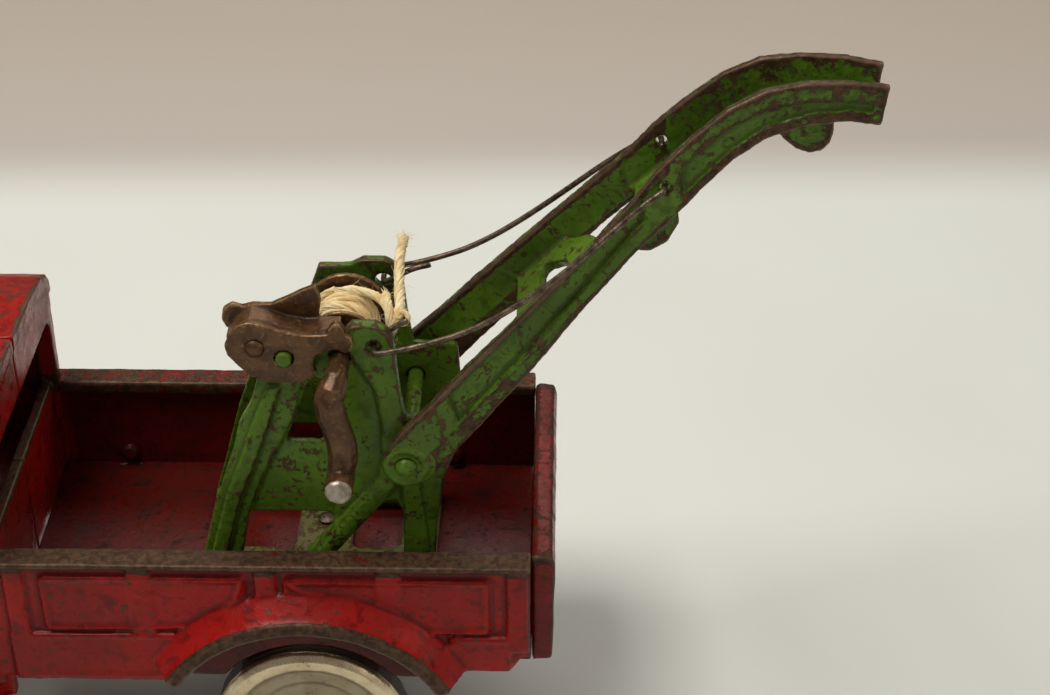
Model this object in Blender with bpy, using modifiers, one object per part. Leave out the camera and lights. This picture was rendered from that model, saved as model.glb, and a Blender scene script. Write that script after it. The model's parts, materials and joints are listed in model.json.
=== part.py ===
"""Toy tow truck: a painted cast-iron wrecker with a crane, boom, winch, crank, pawl and stays.

Modelled in metres, +Z up. +X is the rear (the way the boom points), -Y is the truck's left side.
The castings are described in millimetres below and scaled once, in the mesh helpers.
"""
import math
import bpy
import bmesh
from mathutils import Matrix, Vector

for _o in list(bpy.data.objects):
    bpy.data.objects.remove(_o, do_unlink=True)

MM = 0.001
GAP = 0.3                 # clearance between neighbouring pieces, mm
X_OFF = 2.9               # shift that centres the whole truck on X = 0, mm

# ---------------------------------------------------------------- driving dimensions, mm
HALF_W = 37.8             # half width over the bed rails
RAIL_W = 6.5              # width of the rolled rail
RAIL_TOP = 70.9           # top of the rails and of the bed's front sill
RAIL_T = 1.4              # thickness of the rail at its outer edge
WALL_OUT = 36.0           # outer face of the bed's side walls (half width)
WALL_IN = 33.5            # inner face of the side walls
BODY_BOT = 40.4           # lower edge of the bed sides behind the wheel arch
SKIRT_BOT = 36.7          # lower edge ahead of it
BED_FRONT = -48.6         # rear face of the bed's front wall
BED_REAR = 70.0           # rear end of the two body halves
FLOOR_TOP = 45.6          # top of the loose bed floor plate
FLOOR_T = 0.9
TAIL_T = 4.8              # thickness of the tailgate casting
TAIL_HW = 33.2            # half width of the tailgate
WHEEL_R = 22.2            # wheel radius, also the axle height
WHEEL_IN, WHEEL_OUT = 29.6, 37.4
REAR_AXLE_X, FRONT_AXLE_X = 19.7, -102.3
AXLE_R = 2.0
ARCH_R = 33.5             # inner radius of the wheel arches
FENDER_OUT = 43.2         # half width over the fenders
CAB_FRONT, CAB_REAR = -92.0, -46.5
ROOF_TOP = 105.0
NOSE_X = -148.6           # front of the radiator shell
CR_X0, CR_X1 = -8.2, 47.4  # crane base, front and rear
CR_FOOT_Z = 47.4          # where the crane sides stand on their base plate
CR_BASE_U = 20.8          # half width over the crane sides at the floor
CR_SLOPE = 0.08           # the sides lean in by this much per mm of height
CR_T = 3.2                # thickness of the crane sides at their ribs
PIVOT = (42.4, 86.1)      # boom pivot (x, z)
PIVOT_R = 1.8
WINCH = (28.6, 110.6)     # winch axis (x, z)
SHAFT_R = 1.9
EAR = (36.0, 113.2)       # stay holes in the crane's ears (x, z)
PAWL = (17.0, 112.4)      # pawl lever's pivot pin (x, z)
STAY_R = 0.7
STAY_HOLE = (97.2, 151.0)  # stay holes in the boom (x, z)
BOOM_RAIL = 2.7           # thickness of a boom rail across the boom
BOOM_RECESS = 1.4         # depth of the channel in the boom's sides

# ---------------------------------------------------------------- collections and materials
PARTS = bpy.data.collections.new("toy_tow_truck")
TOOLS = bpy.data.collections.new("cutters")
bpy.context.scene.collection.children.link(PARTS)
bpy.context.scene.collection.children.link(TOOLS)


def material(name, rgb, rough, metal):
    m = bpy.data.materials.new(name)
    m.use_nodes = True
    b = m.node_tree.nodes["Principled BSDF"]
    b.inputs["Base Color"].default_value = (*rgb, 1.0)
    b.inputs["Roughness"].default_value = rough
    b.inputs["Metallic"].default_value = metal
    return m


RED = material("red_enamel", (0.30, 0.018, 0.013), 0.35, 0.0)
GREEN = material("green_enamel", (0.08, 0.17, 0.025), 0.4, 0.0)
OLIVE = material("worn_green_iron", (0.13, 0.13, 0.05), 0.5, 0.1)
BRONZE = material("bronzed_iron", (0.20, 0.10, 0.045), 0.45, 0.6)
STEEL = material("aged_steel", (0.22, 0.18, 0.14), 0.4, 0.85)
NICKEL = material("nickel_plate", (0.55, 0.48, 0.34), 0.25, 1.0)
COTTON = material("cotton_string", (0.75, 0.62, 0.40), 0.9, 0.0)


# ---------------------------------------------------------------- helpers
def finish(obj, mat, node=True, smooth=None):
    """File an object as a node or as a hidden tool, and give it its material."""
    for c in list(obj.users_collection):
        c.objects.unlink(obj)
    if node:
        PARTS.objects.link(obj)
        obj.data.materials.clear()
        obj.data.materials.append(mat)
        if smooth:
            obj.data.shade_smooth()
            obj.data.set_sharp_from_angle(angle=math.radians(smooth))
    else:
        TOOLS.objects.link(obj)
        obj.hide_render = True
        obj.display_type = 'WIRE'
    return obj


def mesh_object(name, bm, mat, node):
    bmesh.ops.recalc_face_normals(bm, faces=bm.faces)
    if bm.calc_volume(signed=True) < 0:
        bmesh.ops.reverse_faces(bm, faces=bm.faces)
    me = bpy.data.meshes.new(name)
    bm.to_mesh(me)
    bm.free()
    obj = bpy.data.objects.new(name, me)
    bpy.context.scene.collection.objects.link(obj)
    return finish(obj, mat, node)


def curve_mesh(curve, warp):
    """Turn a filled curve into a welded mesh, passing every corner through warp()."""
    tmp = bpy.data.objects.new("outline", curve)
    bpy.context.scene.collection.objects.link(tmp)
    dg = bpy.context.evaluated_depsgraph_get()
    me = bpy.data.meshes.new_from_object(tmp.evaluated_get(dg))
    bpy.data.objects.remove(tmp, do_unlink=True)
    bm = bmesh.new()
    bm.from_mesh(me)
    bpy.data.meshes.remove(me)
    bmesh.ops.remove_doubles(bm, verts=bm.verts, dist=1e-5)
    for v in bm.verts:
        v.co = Vector(warp(v.co.x, v.co.y, v.co.z))
    return bm


def outline(name, loops, depth):
    """A flat 2D curve with its holes, extruded to the depth (mm), centred on its plane."""
    cu = bpy.data.curves.new(name, 'CURVE')
    cu.dimensions = '2D'
    cu.fill_mode = 'BOTH'
    cu.extrude = depth / 2
    for loop in loops:
        sp = cu.splines.new('POLY')
        sp.points.add(len(loop) - 1)
        for p, (a, b) in zip(sp.points, loop):
            p.co = (a, b, 0.0, 1.0)
        sp.use_cyclic_u = True
    return cu


def side_plate(name, loops, u0, u1, side=-1, lean=0.0, lean_z=0.0, mat=None, node=False):
    """An outline in the X-Z plane, between half-widths u0 and u1 on one side of the truck."""
    cu = outline(name, loops, u1 - u0)
    mid = (u0 + u1) / 2

    def warp(x, z, h):
        u = mid + h - lean * (z - lean_z)
        return ((x + X_OFF) * MM, side * u * MM, z * MM)
    return mesh_object(name, curve_mesh(cu, warp), mat, node)


def cross_plate(name, loop, x0, x1, side=-1, mat=None, node=False):
    """A section in the half-width/height plane, drawn out along the truck from x0 to x1."""
    cu = outline(name, [loop], x1 - x0)
    mid = (x0 + x1) / 2

    def warp(u, z, h):
        return ((mid + h + X_OFF) * MM, side * u * MM, z * MM)
    return mesh_object(name, curve_mesh(cu, warp), mat, node)


def flat_plate(name, loops, z0, z1, mat=None, node=False):
    """An outline seen from above, between two heights."""
    cu = outline(name, loops, z1 - z0)
    mid = (z0 + z1) / 2
    return mesh_object(name, curve_mesh(cu, lambda x, y, h: ((x + X_OFF) * MM, y * MM, (mid + h) * MM)),
                       mat, node)


def box(name, x0, x1, y0, y1, z0, z1, mat=None, node=False):
    bm = bmesh.new()
    bmesh.ops.create_cube(bm, size=1.0)
    for v in bm.verts:
        v.co = Vector((((x0 + x1) / 2 + X_OFF + v.co.x * (x1 - x0)) * MM,
                       ((y0 + y1) / 2 + v.co.y * (y1 - y0)) * MM,
                       ((z0 + z1) / 2 + v.co.z * (z1 - z0)) * MM))
    return mesh_object(name, bm, mat, node)


def half_box(name, x0, x1, u0, u1, z0, z1, side):
    return box(name, x0, x1, min(side * u0, side * u1), max(side * u0, side * u1), z0, z1)


def cyl_y(name, x, z, r, y0, y1, seg=32, mat=None, node=False):
    """A cylinder along Y."""
    bm = bmesh.new()
    bmesh.ops.create_cone(bm, cap_ends=True, segments=seg, radius1=r * MM, radius2=r * MM, depth=(y1 - y0) * MM)
    for v in bm.verts:
        v.co = Vector(((x + X_OFF) * MM + v.co.x, v.co.z + (y0 + y1) / 2 * MM, z * MM + v.co.y))
    return mesh_object(name, bm, mat, node)


def cyl_z(name, x, y, r, z0, z1, seg=24, mat=None, node=False):
    bm = bmesh.new()
    bmesh.ops.create_cone(bm, cap_ends=True, segments=seg, radius1=r * MM, radius2=r * MM, depth=(z1 - z0) * MM)
    for v in bm.verts:
        v.co = Vector(((x + X_OFF) * MM + v.co.x, y * MM + v.co.y, (z0 + z1) / 2 * MM + v.co.z))
    return mesh_object(name, bm, mat, node)


def turned(name, profile, place, steps, mat, smooth=40.0, origin=(0, 0, 0)):
    """A profile (radius, height) swept about its own Z with Screw, then placed by location and rotation."""
    area = sum(a[0] * b[1] - b[0] * a[1] for a, b in zip(profile, profile[1:] + profile[:1]))
    if area > 0:          # the outer side has to run from top to bottom
        profile = list(reversed(profile))
    bm = bmesh.new()
    vs = [bm.verts.new((r * MM, 0.0, h * MM)) for r, h in profile]
    for a, b in zip(vs, vs[1:] + vs[:1]):
        if (a.co - b.co).length > 1e-7 and not (abs(a.co.x) < 1e-9 and abs(b.co.x) < 1e-9):
            bm.edges.new((a, b))
    me = bpy.data.meshes.new(name)
    bm.to_mesh(me)
    bm.free()
    obj = bpy.data.objects.new(name, me)
    bpy.context.scene.collection.objects.link(obj)
    sc = obj.modifiers.new("sweep", 'SCREW')
    sc.axis = 'Z'
    sc.steps = steps
    sc.render_steps = steps
    sc.use_merge_vertices = True
    sc.merge_threshold = 0.00001
    sc.use_smooth_shade = False
    sc.use_normal_calculate = False
    finish(obj, mat)
    obj.location, obj.rotation_euler = place
    return obj


def tube(name, pts, radius, mat, radii=None, res=3, node=True):
    """A round bar through points (x, y, z in mm), with flat ends; radii scales it point by point."""
    cu = bpy.data.curves.new(name, 'CURVE')
    cu.dimensions = '3D'
    cu.bevel_depth = radius
    cu.bevel_resolution = res
    cu.use_fill_caps = True
    sp = cu.splines.new('POLY')
    sp.points.add(len(pts) - 1)
    for i, (p, c) in enumerate(zip(sp.points, pts)):
        p.co = (*c, 1.0)
        p.radius = radii[i] if radii else 1.0
    bm = curve_mesh(cu, lambda x, y, z: ((x + X_OFF) * MM, y * MM, z * MM))
    return mesh_object(name, bm, mat, node)


def set_origin(obj, x, y, z):
    """Move an object's origin to a point (mm) without moving its shape."""
    at = Vector(((x + X_OFF) * MM, y * MM, z * MM))
    obj.data.transform(Matrix.Translation(-at))
    obj.location = at
    return obj


def join(base, *others, solver='EXACT'):
    for o in others:
        m = base.modifiers.new("join", 'BOOLEAN')
        m.operation = 'UNION'
        m.object = o
        m.solver = solver
    return base


def cut(base, *others, solver='EXACT'):
    for o in others:
        m = base.modifiers.new("cut", 'BOOLEAN')
        m.operation = 'DIFFERENCE'
        m.object = o
        m.solver = solver
    return base


def arc(cx, cz, r, a0, a1, n):
    """Points on a circle, angles in degrees."""
    return [(cx + r * math.cos(math.radians(a0 + (a1 - a0) * i / n)),
             cz + r * math.sin(math.radians(a0 + (a1 - a0) * i / n))) for i in range(n + 1)]


def rounded(x0, x1, z0, z1, r, n=4):
    """A rectangle with rounded corners."""
    return (arc(x1 - r, z1 - r, r, 0, 90, n) + arc(x0 + r, z1 - r, r, 90, 180, n)
            + arc(x0 + r, z0 + r, r, 180, 270, n) + arc(x1 - r, z0 + r, r, 270, 360, n))


def soften(points, steps=3):
    """Round a path or outline of mm points with Chaikin's corner cutting; ends are kept."""
    for _ in range(steps):
        out = [points[0]]
        for a, b in zip(points, points[1:]):
            out.append(tuple(p * 0.75 + q * 0.25 for p, q in zip(a, b)))
            out.append(tuple(p * 0.25 + q * 0.75 for p, q in zip(a, b)))
        out.append(points[-1])
        points = out
    return points


# ---------------------------------------------------------------- body halves
def fender(name, cx, side, a0, a1):
    """A wheel arch: a ring section swept about the axle, from angle a0 to a1 (degrees)."""
    sec = [(WALL_IN + 0.4, ARCH_R), (FENDER_OUT, ARCH_R), (FENDER_OUT, ARCH_R + 2.8), (41.4, ARCH_R + 3.8),
           (39.0, ARCH_R + 5.8), (37.2, ARCH_R + 7.2), (WALL_IN + 0.4, ARCH_R + 7.6)]
    n = 18
    bm = bmesh.new()
    rings = []
    for i in range(n + 1):
        a = math.radians(a0 + (a1 - a0) * i / n)
        rings.append([bm.verts.new(((cx + X_OFF + r * math.cos(a)) * MM, side * u * MM,
                                    (WHEEL_R + r * math.sin(a)) * MM)) for u, r in sec])
    for p, q in zip(rings, rings[1:]):
        for j in range(len(sec)):
            k = (j + 1) % len(sec)
            bm.faces.new((p[j], p[k], q[k], q[j]))
    bm.faces.new(rings[0])
    bm.faces.new(list(reversed(rings[-1])))
    return mesh_object(name, bm, None, False)


def body_half(tag, side):
    n = "t_" + tag + "_"
    # bed side wall: the base of the half casting
    wall = side_plate("body_" + tag, [[(CAB_REAR - 4.5, SKIRT_BOT), (0.0, SKIRT_BOT), (0.0, BODY_BOT), (66.0, BODY_BOT),
                                       (68.0, BODY_BOT + 3.4), (BED_REAR, BODY_BOT + 3.6), (BED_REAR, RAIL_TOP - 1.0),
                                       (CAB_REAR - 4.5, RAIL_TOP - 1.0)]], WALL_IN, WALL_OUT, side, mat=RED, node=True)
    u_rail = HALF_W - RAIL_W
    rail = cross_plate(n + "rail", [(u_rail, RAIL_TOP - 3.4), (u_rail + 1.4, RAIL_TOP - 3.4),
                                    (WALL_IN + 0.6, RAIL_TOP - RAIL_T - 0.4), (HALF_W - 1.0, RAIL_TOP - RAIL_T),
                                    (HALF_W, RAIL_TOP - RAIL_T + 0.4), (HALF_W, RAIL_TOP - 0.5),
                                    (HALF_W - 0.6, RAIL_TOP), (u_rail + 0.5, RAIL_TOP), (u_rail, RAIL_TOP - 0.5)],
                       CAB_REAR - 4.5, BED_REAR, side)
    # outer mouldings: two raised panels and three ribs between rail and lower edge
    lp = side_plate(n + "panel_l", [rounded(-37.5, 7.0, 52.0, 66.6, 1.2, 2)], WALL_OUT - 0.6, WALL_OUT + 0.8, side)
    rp = side_plate(n + "panel_r", [rounded(15.9, 60.4, 51.8, 66.4, 1.2, 2)], WALL_OUT - 0.6, WALL_OUT + 0.8, side)
    ribs = [side_plate(n + "rib%d" % i, [[(a, 46.0), (b, 46.0), (b, RAIL_TOP - 1.2), (a, RAIL_TOP - 1.2)]],
                       WALL_OUT - 0.6, WALL_OUT + 1.1, side)
            for i, (a, b) in enumerate(((-46.0, -41.8), (9.5, 13.8), (64.8, 69.4), (36.2, 41.2), (-18.6, -13.6)))]
    # the lower part of the wall stands out below the panels
    skirts = [side_plate(n + "skirt_f", [[(CAB_REAR, SKIRT_BOT), (-3.0, SKIRT_BOT), (-3.0, 50.2), (CAB_REAR, 50.2)]],
                         WALL_OUT - 0.6, WALL_OUT + 1.2, side),
              side_plate(n + "skirt_r", [[(52.0, BODY_BOT), (65.6, BODY_BOT), (65.6, 50.0), (52.0, 50.0)]],
                         WALL_OUT - 0.6, WALL_OUT + 1.2, side)]
    bosses = [cyl_y(n + "boss%d" % i, bx, 48.4, 2.0, min(side * 32.0, side * 34.0), max(side * 32.0, side * 34.0), 16)
              for i, bx in enumerate((-32.0, 49.6))]
    # bed front wall with its rolled sill, and the ledge that carries the floor plate
    front = half_box(n + "front", BED_FRONT - 2.6, BED_FRONT, 0.15, WALL_IN + 0.5, BODY_BOT, RAIL_TOP, side)
    ledges = [half_box(n + "ledge_a", BED_FRONT - 1, -10.0, 22.5, WALL_IN + 0.5, 41.2, 44.4, side),
              half_box(n + "ledge_b", 47.0, BED_REAR, 22.5, WALL_IN + 0.5, 41.2, 44.4, side),
              half_box(n + "spine", BED_FRONT - 1, BED_REAR, 22.5, 25.6, 36.0, 44.4, side),
              half_box(n + "tie", 60.0, BED_REAR, 0.15, 24.0, 38.0, 44.4, side),
              side_plate(n + "lug", [[(REAR_AXLE_X - 7, 38), (REAR_AXLE_X - 4.5, WHEEL_R)]
                                     + arc(REAR_AXLE_X, WHEEL_R, 4.5, 180, 360, 8)[1:]
                                     + [(REAR_AXLE_X + 7, 38)]], 22.5, 25.6, side)]
    # cab: side with window, rear and front pillars, roof, door step
    cab = side_plate(n + "cab", [[(CAB_FRONT, 30.0), (CAB_REAR - 1.4, 30.0), (CAB_REAR - 1.0, RAIL_TOP),
                                  (CAB_REAR - 0.4, 98.0), (CAB_FRONT + 2.0, 98.0), (CAB_FRONT, 74.0)],
                                 rounded(-86.5, -58.0, 75.5, 92.5, 2.0, 2)], WALL_IN - 0.6, WALL_OUT - 0.4, side)
    back = cross_plate(n + "header", [(0.15, 89.4), (29.5, 89.4), (31.5, 87.0), (31.5, 72.0), (33.2, 72.0),
                                      (33.2, 100.0), (0.15, 103.2)], CAB_REAR - 2.6, CAB_REAR - 0.4, side)
    jamb = half_box(n + "jamb", CAB_REAR - 4.7, CAB_REAR - 0.6, 31.0, 35.0, 60.0, 99.0, side)
    scuttle = half_box(n + "scuttle", CAB_FRONT - 0.4, CAB_FRONT + 2.4, 0.15, WALL_IN + 0.2, 30.0, 76.0, side)
    visor = cross_plate(n + "visor", [(0.15, 94.0), (28.5, 93.4), (28.5, 76.5), (28.5, 74.0), (33.6, 74.0),
                                      (33.6, 99.0), (0.15, 103.0)], CAB_FRONT - 0.2, CAB_FRONT + 2.2, side)
    roof = cross_plate(n + "roof", [(0.15, 101.2), (24.0, 100.2), (31.0, 98.0), (33.4, 95.0), (35.9, 95.0),
                                    (35.6, 98.0), (33.6, 100.8), (29.0, 102.8), (18.0, 104.4), (0.15, ROOF_TOP)],
                       CAB_FRONT - 3.5, CAB_REAR, side)
    seat = half_box(n + "seat", -66.0, BED_FRONT - 1.6, 0.15, WALL_IN, 52.0, 56.0, side)
    # bonnet, radiator shell, lamp, bumper beam
    bonnet = cross_plate(n + "bonnet", [(0.15, 34.0), (20.5, 34.0), (21.5, 60.0), (20.2, 67.0), (16.5, 71.6),
                                        (9.0, 74.2), (0.15, 75.2)], NOSE_X + 4.0, CAB_FRONT + 1.0, side)
    hollow = cross_plate(n + "hollow", [(-2.0, 30.0), (17.8, 30.0), (18.8, 60.0), (17.6, 65.6), (14.8, 69.2),
                                        (8.2, 71.6), (-2.0, 72.6)], NOSE_X + 7.0, CAB_FRONT - 0.4, side)
    louvres = [side_plate(n + "louvre%d" % i, [[(-128 + 6 * i, 45), (-126.4 + 6 * i, 45), (-126.4 + 6 * i, 60),
                                               (-128 + 6 * i, 60)]], 20.6, 22.1, side) for i in range(5)]
    shell = cross_plate(n + "shell", [(0.15, 31.0), (21.8, 31.0), (23.0, 61.0), (21.4, 69.0), (17.0, 74.0),
                                      (9.0, 77.0), (0.15, 78.0)], NOSE_X, NOSE_X + 5.0, side)
    core = cross_plate(n + "core", [(-1.0, 37.0), (17.0, 37.0), (18.6, 60.0), (16.6, 67.0), (12.0, 70.6),
                                    (-1.0, 72.6)], NOSE_X - 1.0, NOSE_X + 1.6, side)
    lamp_arm = half_box(n + "lamp_arm", NOSE_X + 6.0, NOSE_X + 9.0, 19.0, 31.0, 55.0, 58.0, side)
    bm = bmesh.new()
    bmesh.ops.create_cone(bm, cap_ends=True, segments=20, radius1=6.2 * MM, radius2=3.6 * MM, depth=9.0 * MM)
    for v in bm.verts:
        v.co = Vector(((NOSE_X + 6.0 + X_OFF) * MM + v.co.z, side * 31.0 * MM + v.co.x, 58.0 * MM + v.co.y))
    lamp = mesh_object(n + "lamp", bm, None, False)
    apron = half_box(n + "apron", FRONT_AXLE_X - 26, CAB_REAR - 4.0, 19.0, 37.0, 34.6, 37.2, side)
    step = half_box(n + "step", -78.0, CAB_REAR - 3.0, 33.0, FENDER_OUT, 26.6, 29.4, side)
    step_riser = half_box(n + "riser", -78.0, CAB_REAR - 3.0, WALL_IN - 0.4, WALL_OUT - 0.6, 26.6, 40.0, side)
    f_rear = fender(n + "fender_r", REAR_AXLE_X, side, 27.5, 149.0)
    f_front = fender(n + "fender_f", FRONT_AXLE_X, side, 8.0, 172.0)
    front_lug = side_plate(n + "lug_f", [[(FRONT_AXLE_X - 7, 36), (FRONT_AXLE_X - 4.5, WHEEL_R)]
                                         + arc(FRONT_AXLE_X, WHEEL_R, 4.5, 180, 360, 8)[1:]
                                         + [(FRONT_AXLE_X + 7, 36)]], 19.0, 22.4, side)
    arches = [cyl_y(n + "arch%d" % i, cx, WHEEL_R, ARCH_R, min(side * (WALL_IN - 3), side * 45),
                    max(side * (WALL_IN - 3), side * 45), 48)
              for i, cx in enumerate((REAR_AXLE_X, FRONT_AXLE_X))]
    wells = [cyl_y(n + "well%d" % i, cx, WHEEL_R, WHEEL_R + 1.2, min(side * 28.4, side * 45),
                   max(side * 28.4, side * 45), 48) for i, cx in enumerate((REAR_AXLE_X, FRONT_AXLE_X))]
    bores = [cyl_y(n + "bore%d" % i, cx, WHEEL_R, AXLE_R + GAP, min(side * 16, side * 30),
                   max(side * 16, side * 30), 24) for i, cx in enumerate((REAR_AXLE_X, FRONT_AXLE_X))]
    join(wall, cab, apron, scuttle, bonnet, *skirts)
    cut(wall, hollow, arches[0], arches[1])
    join(wall, rail, lp, rp, *ribs, *bosses, front, *ledges, back, jamb, visor, roof, seat, shell,
         *louvres, lamp_arm, lamp, step_riser, step, f_rear, f_front, front_lug)
    cut(wall, core, *wells, *bores)
    return wall


body_half("left", -1)
body_half("right", 1)

# ---------------------------------------------------------------- bed floor, tailgate
floor = flat_plate("bed_floor", [rounded(BED_FRONT + GAP, BED_REAR - GAP, -WALL_IN + 0.4, WALL_IN - 0.4, 4.0)],
                   FLOOR_TOP - FLOOR_T, FLOOR_TOP, RED, True)
# the two cast bosses on the walls stand over the plate's edge: the plate is notched for them
for i, bx in enumerate((-32.0, 49.6)):
    for s in (-1, 1):
        cut(floor, cyl_z("t_notch%d%d" % (i, s), bx, s * 33.4, 3.2, 40.0, 50.0, 16))
SCREWS = ((20.0, 8.6), (20.0, -8.6))
for i, (sx, sy) in enumerate(SCREWS):
    cut(floor, cyl_z("t_floor_hole%d" % i, sx, sy, 1.3 + GAP, 40.0, 50.0, 16))

tail = side_plate("tailgate", [[(BED_REAR + GAP, BODY_BOT), (BED_REAR + TAIL_T, BODY_BOT + 0.6),
                                (BED_REAR + TAIL_T + 0.5, RAIL_TOP - 3.0), (BED_REAR + TAIL_T - 0.2, RAIL_TOP - 0.5),
                                (BED_REAR + 1.2, RAIL_TOP), (BED_REAR + GAP, RAIL_TOP - 0.6)]],
                  -TAIL_HW, TAIL_HW, -1, mat=RED, node=True)
tail_panel = box("t_tail_panel", BED_REAR + TAIL_T - 0.9, BED_REAR + TAIL_T + 3.0, -27.5, 27.5, 46.5, 65.5)
cut(tail, tail_panel)

# ---------------------------------------------------------------- crane: base plate and two sides
Z_BASE0, Z_BASE1 = FLOOR_TOP + GAP, CR_FOOT_Z - GAP
base = flat_plate("crane_base", [rounded(CR_X0, CR_X1, -CR_BASE_U + 0.6, CR_BASE_U - 0.6, 2.0),
                                 rounded(-3.0, 13.2, -1.6, 15.0, 2.0), rounded(27.0, 38.2, -1.6, 15.0, 2.0)],
                  Z_BASE0, Z_BASE1, OLIVE, True)
for i, (sx, sy) in enumerate(SCREWS):
    cut(base, cyl_z("t_base_hole%d" % i, sx, sy, 1.3 + GAP, 40.0, 50.0, 16))


def crane_side(name, side):
    u1 = CR_BASE_U
    kw = dict(side=side, lean=CR_SLOPE, lean_z=46.0)
    z0 = CR_FOOT_Z
    # the near side drops behind the pawl lever; the far side carries on level
    if side < 0:
        top = [(10.6, 105.9), (11.2, 110.0), (11.9, 113.2), (13.3, 115.4), (16.0, 116.3), (19.0, 115.2),
               (22.0, 114.6), (29.3, 114.6), (29.8, 117.3)]
    else:
        top = [(11.8, 105.9), (19.1, 110.3), (21.6, 117.2), (28.9, 117.5)]
    rim = [(CR_X0, z0), (-4.1, 61.3), (-0.4, 74.8), (3.8, 86.7), (5.6, 93.7), (8.6, 99.3)] + top + [
        (31.4, 118.8), (36.6, 118.8), (39.2, 117.2), (40.4, 114.4), (40.8, 108.0), (41.4, 101.2), (42.2, 95.6),
        (52.4, 95.0), (52.8, 86.0), (50.0, 79.0), (48.6, 67.4), (CR_X1, z0)]
    win_top = [(15.9, 89.2), (23.4, 88.9), (24.6, 90.4), (24.6, 103.6), (22.6, 106.0), (20.8, 102.8), (18.2, 96.2)]
    win_1 = [(5.4, 70.2), (4.8, 61.4), (2.2, 50.2), (3.0, 49.6), (10.6, 49.6), (20.9, 61.8), (25.4, 67.4),
             (25.2, 69.8), (24.6, 70.4), (6.2, 70.7)]
    win_2 = [(16.8, 49.6), (39.2, 49.6), (40.4, 50.8), (40.9, 61.3), (41.0, 70.6), (39.4, 74.0), (36.6, 73.4),
             (28.9, 64.4)]
    sheet = side_plate(name, [rim, win_top, win_1, win_2], u1 - CR_T, u1 - 1.2, mat=GREEN, node=True, **kw)
    leg_f = side_plate("t_" + name + "_leg_f", [[(CR_X0, z0), (-4.1, 61.3), (-0.4, 74.8), (3.8, 86.7), (5.6, 93.7),
                                                (8.6, 99.3), (11.2, 106.4), (20.4, 106.4), (18.1, 96.1),
                                                (15.1, 90.2), (10.0, 80.2), (6.6, 70.9), (4.8, 61.4), (1.4, z0)]],
                       u1 - CR_T + 0.3, u1 - 0.5, **kw)
    rib_f = side_plate("t_" + name + "_rib_f", [[(-6.6, z0), (-2.2, 61.3), (1.6, 74.8), (6.0, 86.7), (9.6, 96.6),
                                                (12.8, 104.4), (15.4, 104.2), (12.6, 95.0), (9.2, 85.4),
                                                (4.6, 74.0), (1.2, 61.3), (-2.6, z0)]], u1 - CR_T + 0.5, u1 + 0.4, **kw)
    brace = side_plate("t_" + name + "_brace", [[(8.4, z0 + 0.1), (10.4, 49.4), (20.9, 62.0), (35.8, 80.2), (37.4, 87.2),
                                                (43.0, 84.0), (36.2, 73.0), (28.9, 64.2), (17.0, 49.4),
                                                (15.4, z0 + 0.1)]], u1 - CR_T + 0.4, u1 - 0.2, **kw)
    ridge = side_plate("t_" + name + "_ridge", [[(10.6, z0 + 0.2), (22.2, 61.5), (36.8, 79.6), (38.6, 77.6),
                                                (24.0, 60.2), (13.6, z0 + 0.2)]], u1 - CR_T + 0.6, u1 + 0.3, **kw)
    leg_r = side_plate("t_" + name + "_leg_r", [[(40.3, z0), (40.9, 61.3), (41.2, 78.0), (38.0, 82.0), (43.0, 90.0),
                                                (46.4, 84.0), (44.6, 77.8), (46.4, 61.3), (46.6, z0)]],
                       u1 - CR_T + 0.3, u1 - 0.4, **kw)
    collar = side_plate("t_" + name + "_collar", [arc(PIVOT[0], PIVOT[1], 5.0, 0, 360, 24)[:-1]],
                        u1 - CR_T + 0.2, u1 - 0.1, **kw)
    spine = side_plate("t_" + name + "_spine", [[(33.0, 107.6), (36.0, 102.4), (37.2, 93.5), (36.8, 86.8),
                                                (42.8, 88.0), (42.1, 95.2), (41.3, 101.2), (40.7, 108.0),
                                                (40.2, 114.2), (39.0, 116.9), (36.5, 118.6), (31.5, 118.6),
                                                (30.0, 117.0), (29.8, 112.0)]], u1 - CR_T + 0.4, u1 - 0.3, **kw)
    foot = side_plate("t_" + name + "_foot", [[(CR_X0 + 0.2, z0 + 0.05), (CR_X1 - 0.2, z0 + 0.05), (CR_X1 - 0.3, 49.5),
                                              (CR_X0 + 0.6, 49.5)]], u1 - CR_T - 3.6, u1 - 0.2, **kw)
    join(sheet, leg_f, rib_f, brace, ridge, leg_r, collar, spine, foot)
    if side < 0:
        join(sheet, cyl_y("t_pin", PAWL[0], PAWL[1], 1.75, -18.9, -14.0, 24))
    cut(sheet, cyl_y("t_" + name + "_h1", PIVOT[0], PIVOT[1], PIVOT_R + GAP, -30, 30, 24),
        cyl_y("t_" + name + "_h2", WINCH[0], WINCH[1], SHAFT_R + GAP, -30, 30, 24),
        cyl_y("t_" + name + "_h3", EAR[0], EAR[1], 1.5 if side < 0 else 1.9, -30, 30, 20))
    return sheet


crane_side("crane_frame_left", -1)
crane_side("crane_frame_right", 1)

# ---------------------------------------------------------------- boom
# stations along the boom: top (x, z), bottom (x, z), half width over the rails
BOOM = [((37.3, 89.0), (42.3, 81.0), 21.6), ((41.6, 95.0), (47.6, 82.6), 21.2), ((48.0, 101.6), (52.2, 88.0), 20.3),
        ((56.2, 110.8), (60.8, 98.4), 19.0), ((67.2, 122.6), (70.4, 109.8), 17.3), ((76.0, 132.0), (77.2, 119.2), 16.2),
        ((84.8, 141.8), (85.6, 129.2), 14.1), ((90.0, 147.6), (91.4, 135.9), 12.4), ((95.0, 154.4), (97.4, 141.8), 11.3),
        ((102.0, 161.6), (104.4, 149.4), 10.0), ((109.4, 168.0), (110.8, 156.2), 9.2), ((116.8, 171.8), (117.6, 161.2), 8.5),
        ((125.8, 173.2), (125.8, 163.6), 7.6), ((134.2, 172.9), (134.0, 164.2), 6.9), ((142.0, 171.8), (141.0, 162.9), 6.1)]


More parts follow.
